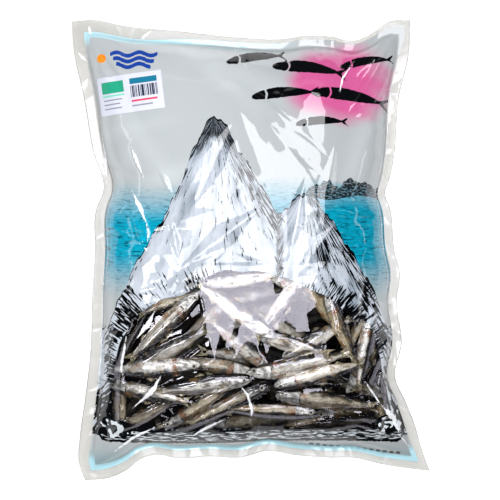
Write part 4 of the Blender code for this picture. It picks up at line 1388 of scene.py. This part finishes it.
def fish_skin_material():
    """Dried anchovy skin: boiled and sun-dried, so the silver layer is dull and wrinkled, the back is
    slate, the belly shows yellow oil and the gills rust. It gives the eye soft metallic streaks."""
    material, tree = new_material("Sun-dried fish skin")
    place = add(tree, "TexCoord").outputs["Object"]
    along, up, tint, oil, depth = (
        add(tree, "Attribute", attribute_name=name).outputs["Fac"]
        for name in ("along", "up", "tint", "oil", "depth"))
    grain = {name: add(tree, "TexNoise", {"Vector": place, "Scale": 1 / (size * MM), "Detail": detail})
             for name, size, detail in SKIN_GRAINS}
    # Each fish's own number, so that no two have the same streaks
    own = add(tree, "Math", (oil, 91.0), operation="MULTIPLY")
    own = add(tree, "Math", (tint, 57.0, own), operation="MULTIPLY_ADD")

    def streaks(across, lengthwise, detail=3.0):
        """Noise in the fish's own coordinates, so that it runs along the body."""
        where = add(tree, "CombineXYZ", (
            add(tree, "Math", (along, lengthwise), operation="MULTIPLY"),
            add(tree, "Math", (up, across), operation="MULTIPLY"), own))
        return add(tree, "TexNoise", {"Vector": where, "Scale": 1.0, "Detail": detail})

    # Where each kind of mark lies: the noise that bounds it, from nothing to full strength
    mask = {name: add(tree, "MapRange", {"Value": noise, "From Min": low, "From Max": high})
            for name, noise, low, high in (
                ("stain", grain["stain"], 0.50, 0.66), ("bruise", streaks(2.0, 9.0, 4.0), 0.57, 0.66),
                ("blood", grain["blood"], 0.44, 0.62), ("belly", grain["belly"], 0.56, 0.64),
                ("faded", grain["faded"], 0.42, 0.58), ("speck", grain["speck"], 0.60, 0.68))}

    # From the silver belly up to the slate back, where the border between them wanders
    level = add(tree, "Math", (streaks(1.6, 14.0, 4.0), 1.5, up), operation="MULTIPLY_ADD")
    level = add(tree, "Math", (level, 0.5, 0.125), operation="MULTIPLY_ADD")
    flank = add(tree, "ValToRGB", (level,), stops=(
        (0.02, linear("#D9D5C8")), (0.20, linear("#F6F6F2")), (0.46, linear("#EBEBE8")),
        (0.60, linear("#A8ABAA")), (0.70, linear("#3A4046")), (0.90, linear("#0C0E11"))))
    olive = add(tree, "ValToRGB", (level,), stops=(
        (0.05, linear("#B0904E")), (0.32, linear("#DECB98")), (0.58, linear("#9C8A58")),
        (0.74, linear("#4B4432")), (0.92, linear("#15130F"))))

    # Rust behind the gill cover and along the belly, on about half of the fish
    behind = add(tree, "Math", (along, GILL + 0.03), operation="SUBTRACT")
    behind = add(tree, "Math", (behind,), operation="ABSOLUTE")
    gill = add(tree, "MapRange", {"Value": behind, "From Min": 0.055, "From Max": 0.015})
    bloody = add(tree, "Math", (streaks(0.0, 0.0, 0.0), 0.48), operation="GREATER_THAN")
    low_down = add(tree, "Math", (up, -0.35), operation="LESS_THAN")

    # The head: smooth silver plates under a dark crown
    head = add(tree, "Math", (along, GILL), operation="LESS_THAN")
    plate = add(tree, "ValToRGB", (grain["plate"],), stops=(
        (0.36, linear("#8C8B84")), (0.50, linear("#DAD9D2")), (0.62, linear("#F8F7F2"))))
    cheek = add(tree, "Math", (up, 0.50), operation="LESS_THAN")
    crown = add(tree, "Math", (up, 0.62), operation="GREATER_THAN")

    # Its lines: the edge of the gill cover, the plate before it and the jaw
    bent = add(tree, "Math", (up, up), operation="MULTIPLY")
    bent = add(tree, "Math", (bent, -0.03, along), operation="MULTIPLY_ADD")
    edge = add(tree, "Math", (bent, GILL - 0.004, 0.007), operation="COMPARE")
    leaning = add(tree, "Math", (up, 0.02, along), operation="MULTIPLY_ADD")
    plate_line = add(tree, "Math", (leaning, 0.155, 0.004), operation="COMPARE")
    plate_line = add(tree, "Math", (plate_line, 0.6), operation="MULTIPLY")
    mouth = add(tree, "Math", (along, 5.0, up), operation="MULTIPLY_ADD")
    mouth = add(tree, "Math", (mouth, 0.12, 0.08), operation="COMPARE")
    near_snout = add(tree, "Math", (along, 0.12), operation="LESS_THAN")
    jaw = add(tree, "Math", (mouth, near_snout), operation="MULTIPLY")
    lines = add(tree, "Math", (edge, jaw), operation="MAXIMUM")
    lines = add(tree, "Math", (lines, plate_line), operation="MAXIMUM")

    # Fins and tail are thin tan membranes
    fin = add(tree, "Math", (along, 0.91), operation="GREATER_THAN")
    membrane = add(tree, "ValToRGB", (grain["membrane"],), stops=(
        (0.35, linear("#5E5642")), (0.65, linear("#C9BF9E"))))
    colour = painted(
        tree, flank, (olive, 1.0, oil), (linear("#8F7038"), 0.62, mask["stain"]),
        (linear("#3A3226"), 0.80, mask["bruise"]), (linear("#8A5222"), 0.90, gill, mask["blood"], bloody),
        (linear("#A06A2C"), 0.72, low_down, mask["belly"], bloody), (plate, 1.0, head, cheek),
        (linear("#2B2A28"), 0.9, head, crown), (linear("#1E1A16"), 1.0, lines, mask["faded"]),
        (membrane, 1.0, fin), (linear("#1B1A18"), 0.75, mask["speck"]))

    # Deeper fish are darker: the light that reaches them has passed between the upper ones
    lit = add(tree, "MapRange", {
        "Value": depth, "From Min": 5 * MM, "From Max": 16 * MM, "To Min": 1.0, "To Max": 0.03},
        interpolation_type="SMOOTHSTEP")
    bright = add(tree, "Math", (tint, 0.50, 0.84), operation="MULTIPLY_ADD")
    bright = add(tree, "Math", (bright, lit), operation="MULTIPLY")
    colour = add(tree, "VectorMath", {0: colour, "Scale": bright}, operation="SCALE")

    wrinkle = add(tree, "Math", (streaks(9.0, 16.0), 0.9, grain["wrinkle"]), operation="MULTIPLY_ADD")
    bump = add(tree, "Bump", {"Strength": 1.0, "Distance": 1.1 * MM, "Height": wrinkle})
    rough = add(tree, "MapRange", {
        "Value": grain["sheen"], "From Min": 0.35, "From Max": 0.65, "To Min": 0.17, "To Max": 0.44})
    specular = add(tree, "Math", (lit, 0.68), operation="MULTIPLY")
    skin = add(tree, "BsdfPrincipled", {
        "Base Color": colour, "Metallic": 0.16, "Roughness": rough, "Normal": bump,
        "Specular IOR Level": specular})
    add(tree, "OutputMaterial", (skin,))
    return material


def fish_eye_material():
    """Dried fish eye: a sunken black lens in a ring of dull silver."""
    material, tree = new_material("Dried fish eye")
    reach = add(tree, "Attribute", attribute_name="along").outputs["Fac"]
    colour = add(tree, "ValToRGB", (reach,), stops=(
        (0.0, linear("#050506")), (0.50, linear("#0B0B0C")), (0.60, linear("#DCD9CC")),
        (0.85, linear("#BDB9A6")), (1.0, linear("#3F3B33"))))
    add(tree, "OutputMaterial", (add(tree, "BsdfPrincipled", {"Base Color": colour, "Roughness": 0.18}),))
    return material


def make_fish(lies, name, materials, draw, heap):
    """One piece of many fish: the template joined as often as needed, and each copy shaped and laid."""
    template, parts, places = fish_template()
    bm = bmesh.new()
    for _ in lies:
        bm.from_mesh(template)
    piece = piece_from(bm, name, materials)
    bpy.data.meshes.remove(template)
    points, depth, along, up, tint, oil = [], [], [], [], [], []
    for lie in lies:
        *place, bright, oiliness = lie
        shape, shape_along, shape_up = shaped_fish(parts, places, draw)
        laid = laid_fish(shape, place)
        top, bottom = heap.films_at(laid)
        for _ in range(PULL_STEPS):
            outside = top - bottom < THINNEST_GAP
            if not outside.any():
                break
            laid[outside, :2] += (np.array(HEAP_MIDDLE) - laid[outside, :2]) * PULL_SHARE
            top, bottom = heap.films_at(laid)
        laid[:, 2] = np.maximum(np.minimum(laid[:, 2], top), bottom)
        points.append(laid)
        depth.append(top - laid[:, 2])
        along.append(shape_along)
        up.append(shape_up)
        tint.append(np.full(len(parts), bright))
        oil.append(np.full(len(parts), oiliness))
    set_points(piece.data, np.concatenate(points))
    for field, values in (("depth", depth), ("along", along), ("up", up), ("tint", tint), ("oil", oil)):
        set_field(piece.data, field, np.concatenate(values))
    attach(piece, "root")
    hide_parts("bag")
    return piece


def core_material():
    """The heap's depth: fish too deep to see, as a dark brown-grey mass that takes no highlight."""
    material, tree = new_material("Shaded depth of the heap")
    place = add(tree, "TexCoord").outputs["Object"]
    lumps = add(tree, "TexNoise", {"Vector": place, "Scale": 1 / (7 * MM), "Detail": 4.0})
    colour = add(tree, "ValToRGB", (lumps,), stops=(
        (0.35, linear("#020202")), (0.60, linear("#0A0908")), (0.80, linear("#1C1915"))))
    bump = add(tree, "Bump", {"Strength": 1.0, "Distance": 2 * MM, "Height": lumps})
    mass = add(tree, "BsdfPrincipled", {
        "Base Color": colour, "Roughness": 0.7, "Normal": bump, "Specular IOR Level": 0.0})
    add(tree, "OutputMaterial", (mass,))
    return material


def make_core(heap):
    """What fills the bag below the fish that show: a closed lumpy body between the fish and the back."""
    bm = bmesh.new()
    bmesh.ops.create_grid(bm, x_segments=CORE_GRID[0], y_segments=CORE_GRID[1], size=0.5)
    grown = bmesh.ops.extrude_face_region(bm, geom=bm.faces[:], use_keep_orig=True)
    upper = [item for item in grown["geom"] if isinstance(item, bmesh.types.BMVert)]
    bmesh.ops.translate(bm, verts=upper, vec=(0, 0, 1))
    bmesh.ops.recalc_face_normals(bm, faces=bm.faces[:])
    core = piece_from(bm, "fish_below", [core_material()])
    flat = get_points(core.data)
    u, v = flat[:, 0] * (1 - 2 * CORE_INSET) + 0.5, flat[:, 1] * (1 - 2 * CORE_INSET) + 0.5
    top = flat[:, 2] > 0.5
    above, below = front_points(u, v, 0.0), back_points(u, v, 0.0)
    points = np.where(top[:, None], above, below)
    points[:, :2] += shift_to_solid()
    columns = (points[:, 0] - heap.xs[0]) / HEAP_CELL
    rows = (points[:, 1] - heap.ys[0]) / HEAP_CELL
    covered = (columns >= 0) & (columns < len(heap.xs) - 1) & (rows >= 0) & (rows < len(heap.ys) - 1)
    column = np.clip(columns, 0, len(heap.xs) - 1).astype(int)
    row = np.clip(rows, 0, len(heap.ys) - 1).astype(int)
    lowest = np.where(covered, heap.ceiling[row, column] - CORE_BELOW_FISH, 1.0)
    edge = 0.5 - np.maximum(np.abs(flat[:, 0]), np.abs(flat[:, 1]))
    gap = CORE_DEPTH * np.clip(0.35 + edge * 12, 0, 1)
    roof = np.minimum(points[:, 2] - gap, lowest)
    floor = below[:, 2] + CORE_ABOVE_BACK
    points[:, 2] = np.where(top, np.maximum(roof, floor + CORE_THINNEST), floor)
    set_points(core.data, points)
    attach(core, "root")
    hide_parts("bag")
    return core


def shift_to_solid():
    """How far the pouch's own coordinates are from the solid's, in X and Y."""
    edge = np.linspace(0, 1, 400)
    zero, one = np.zeros_like(edge), np.ones_like(edge)
    sides = ((edge, zero), (edge, one), (zero, edge), (one, edge))
    rim = np.concatenate([middle_sheet(*side) for side in sides])
    low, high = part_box("bag")
    middle = (rim[:, :2].min(axis=0) + rim[:, :2].max(axis=0)) / 2
    return np.array(((low.x + high.x) / 2, (low.y + high.y) / 2)) - middle


def label_material(colours):
    """Coated label paper: wood-free paper with a clay coat, offset printed. It gives the eye a clean
    cool white with a slight sheen."""
    material, tree = new_material("Coated label paper")
    u, v = (add(tree, "Attribute", attribute_name=name).outputs["Fac"] for name in ("label_u", "label_v"))

    def box(left, right, low, high):
        """A mask of a rectangle on the paper, in shares of its width and height."""
        across = add(tree, "Math", (u, (left + right) / 2, (right - left) / 2), operation="COMPARE")
        along = add(tree, "Math", (v, (low + high) / 2, (high - low) / 2), operation="COMPARE")
        return add(tree, "Math", (across, along), operation="MULTIPLY")

    bars = add(tree, "TexNoise", {"W": u, "Scale": 55.0, "Detail": 0.0}, noise_dimensions="1D")
    dark = add(tree, "Math", (bars, 0.47), operation="GREATER_THAN")
    colour = painted(
        tree, (*colours.paper, 1), (linear("#10203A"), 1.0, dark, box(*LABEL_BARS)),
        *((linear(code), 1.0, box(*sides)) for code, *sides in LABEL_PRINT))
    place = add(tree, "TexCoord").outputs["Object"]
    fibre = add(tree, "TexNoise", {"Vector": place, "Scale": 1 / (1.6 * MM), "Detail": 3.0})
    bump = add(tree, "Bump", {"Strength": 0.25, "Distance": 0.1 * MM, "Height": fibre})
    paper = add(tree, "BsdfPrincipled", {
        "Base Color": colour, "Roughness": 0.42, "Normal": bump, "Specular IOR Level": 0.35})
    add(tree, "OutputMaterial", (paper,))
    return material


def make_label(film, sizes, colours):
    """The label, laid on the film where its solid is."""
    bm = bmesh.new()
    bmesh.ops.create_grid(bm, x_segments=LABEL_GRID[0], y_segments=LABEL_GRID[1], size=0.5)
    grown = bmesh.ops.extrude_face_region(bm, geom=bm.faces[:], use_keep_orig=True)
    upper = [item for item in grown["geom"] if isinstance(item, bmesh.types.BMVert)]
    bmesh.ops.translate(bm, verts=upper, vec=(0, 0, 1))
    bmesh.ops.recalc_face_normals(bm, faces=bm.faces[:])
    label = piece_from(bm, "paper_label", [label_material(colours)])
    flat = get_points(label.data)
    tree = BVHTree.FromObject(film, bpy.context.evaluated_depsgraph_get())
    low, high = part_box("label")
    middle = ((low.x + high.x) / 2, (low.y + high.y) / 2)
    points = []
    for place in flat:
        x, y = place[0] * LABEL_SIZE[0], place[1] * LABEL_SIZE[1]
        spot = Vector((middle[0] + x * math.cos(LABEL_TURN) - y * math.sin(LABEL_TURN),
                       middle[1] + x * math.sin(LABEL_TURN) + y * math.cos(LABEL_TURN), high.z * 3))
        hit, normal, _, _ = tree.ray_cast(spot, Vector((0, 0, -1)))
        if hit is None:
            raise RuntimeError("the label reaches past the film")
        lift = LABEL_GAP + place[2] * sizes.label_thickness
        points.append((hit.x, hit.y, hit.z + lift / max(normal.z, 0.4)))
    set_points(label.data, np.array(points))
    set_field(label.data, "label_u", flat[:, 0] + 0.5)
    set_field(label.data, "label_v", flat[:, 1] + 0.5)
    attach(label, "root")
    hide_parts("label")
    return label


def area_light(name, place, size, strength, code):
    """A rectangular softbox that faces the bag."""
    light = bpy.data.lights.new(name, "AREA")
    light.shape = "RECTANGLE"
    light.size, light.size_y = size
    light.energy = strength * size[0] * size[1] * math.pi
    light.color = linear(code)
    obj = bpy.data.objects.new(name, light)
    obj.location = place
    obj.rotation_euler = (Vector(LIGHT_TARGET) - Vector(place)).to_track_quat("-Z", "Y").to_euler()
    bpy.context.scene.collection.objects.link(obj)


def make_stage():
    """A white floor, soft light and the camera that looks straight down."""
    scene = bpy.context.scene
    material, tree = new_material("White seamless paper")
    paper = add(tree, "BsdfPrincipled", {
        "Base Color": (*linear("#F6F6F6"), 1), "Roughness": 0.9, "Emission Color": (1, 1, 1, 1),
        "Emission Strength": 0.35})
    add(tree, "OutputMaterial", (paper,))
    bm = bmesh.new()
    bmesh.ops.create_grid(bm, x_segments=1, y_segments=1, size=FLOOR_HALF)
    bmesh.ops.translate(bm, verts=bm.verts[:], vec=(0, 0, FLOOR_HEIGHT))
    floor = piece_from(bm, "floor", [material])

    # A dark ceiling with a pale rim, so that the film's reflections are those of the softboxes
    world = bpy.data.worlds.new("Studio")
    world.use_nodes = True
    tree = world.node_tree
    way = add(tree, "SeparateXYZ", (add(tree, "TexCoord").outputs["Generated"],)).outputs["Z"]
    sky = add(tree, "ValToRGB", (way,), stops=((0.35, linear("#424447")), (0.72, linear("#19191D"))))
    tree.links.new(sky.outputs["Color"], tree.nodes["Background"].inputs["Color"])
    scene.world = world
    for light in LIGHTS:
        area_light(*light)

    camera = bpy.data.cameras.new("Camera")
    camera.sensor_width = 36
    camera.sensor_fit = "HORIZONTAL"
    camera.lens = camera.sensor_width * (CAMERA_HEIGHT - EDGE_LEVEL) / (PHOTO_PIXELS * PIXEL_SIZE)
    camera.clip_end = 20
    eye = bpy.data.objects.new("Camera", camera)
    eye.location = (*VIEW_CENTRE, CAMERA_HEIGHT)
    scene.collection.objects.link(eye)
    scene.camera = eye
    scene.view_settings.view_transform = "Standard"


class ANCHOVYBAG_OT_film(bpy.types.Operator):
    """Make the printed film pouch"""

    bl_idname = "anchovy_bag.film"
    bl_label = "Film pouch"

    def execute(self, context):
        make_film(context.scene.bag_sizes, context.scene.bag_colours)
        return {"FINISHED"}


class ANCHOVYBAG_OT_fish(bpy.types.Operator):
    """Make the fish behind the window and the mass below them"""

    bl_idname = "anchovy_bag.fish"
    bl_label = "Dried fish"

    def execute(self, context):
        sizes = context.scene.bag_sizes
        heap = Heap(bpy.data.objects["film"])
        lies = fill_heap(heap, sizes.extra_fish)
        materials = [fish_skin_material(), fish_eye_material()]
        draw = random.Random(FISH_SEED + 2)
        for number, start in enumerate(range(0, len(lies), FISH_IN_A_PIECE)):
            make_fish(lies[start:start + FISH_IN_A_PIECE], f"fish_{number + 1}", materials, draw, heap)
        make_core(heap)
        return {"FINISHED"}


class ANCHOVYBAG_OT_label(bpy.types.Operator):
    """Make the paper label on the film"""

    bl_idname = "anchovy_bag.label"
    bl_label = "Paper label"

    def execute(self, context):
        make_label(bpy.data.objects["film"], context.scene.bag_sizes, context.scene.bag_colours)
        return {"FINISHED"}


class ANCHOVYBAG_OT_stage(bpy.types.Operator):
    """Make the floor, the lights and the camera"""

    bl_idname = "anchovy_bag.stage"
    bl_label = "Stage"

    def execute(self, context):
        make_stage()
        return {"FINISHED"}


class ANCHOVYBAG_PT_panel(bpy.types.Panel):
    """Lists the pieces of the bag"""

    bl_idname = "ANCHOVYBAG_PT_panel"
    bl_label = "Anchovy bag"
    bl_space_type = "VIEW_3D"
    bl_region_type = "UI"
    bl_category = "Anchovy bag"

    def draw(self, context):
        layout = self.layout
        for group in (context.scene.bag_sizes, context.scene.bag_colours):
            for name in group.bl_rna.properties.keys():
                if name not in ("rna_type", "name"):
                    layout.prop(group, name)
        for operator in OPERATORS:
            layout.operator(operator.bl_idname)


OPERATORS = (ANCHOVYBAG_OT_film, ANCHOVYBAG_OT_fish, ANCHOVYBAG_OT_label, ANCHOVYBAG_OT_stage)
CLASSES = (BagSizes, BagColours, *OPERATORS, ANCHOVYBAG_PT_panel)


def register():
    for cls in CLASSES:
        bpy.utils.register_class(cls)
    bpy.types.Scene.bag_sizes = PointerProperty(type=BagSizes)
    bpy.types.Scene.bag_colours = PointerProperty(type=BagColours)


def unregister():
    del bpy.types.Scene.bag_colours
    del bpy.types.Scene.bag_sizes
    for cls in reversed(CLASSES):
        bpy.utils.unregister_class(cls)


def main():
    register()
    bpy.ops.anchovy_bag.film()
    bpy.ops.anchovy_bag.fish()
    bpy.ops.anchovy_bag.label()
    bpy.ops.anchovy_bag.stage()


if __name__ == "__main__":
    main()
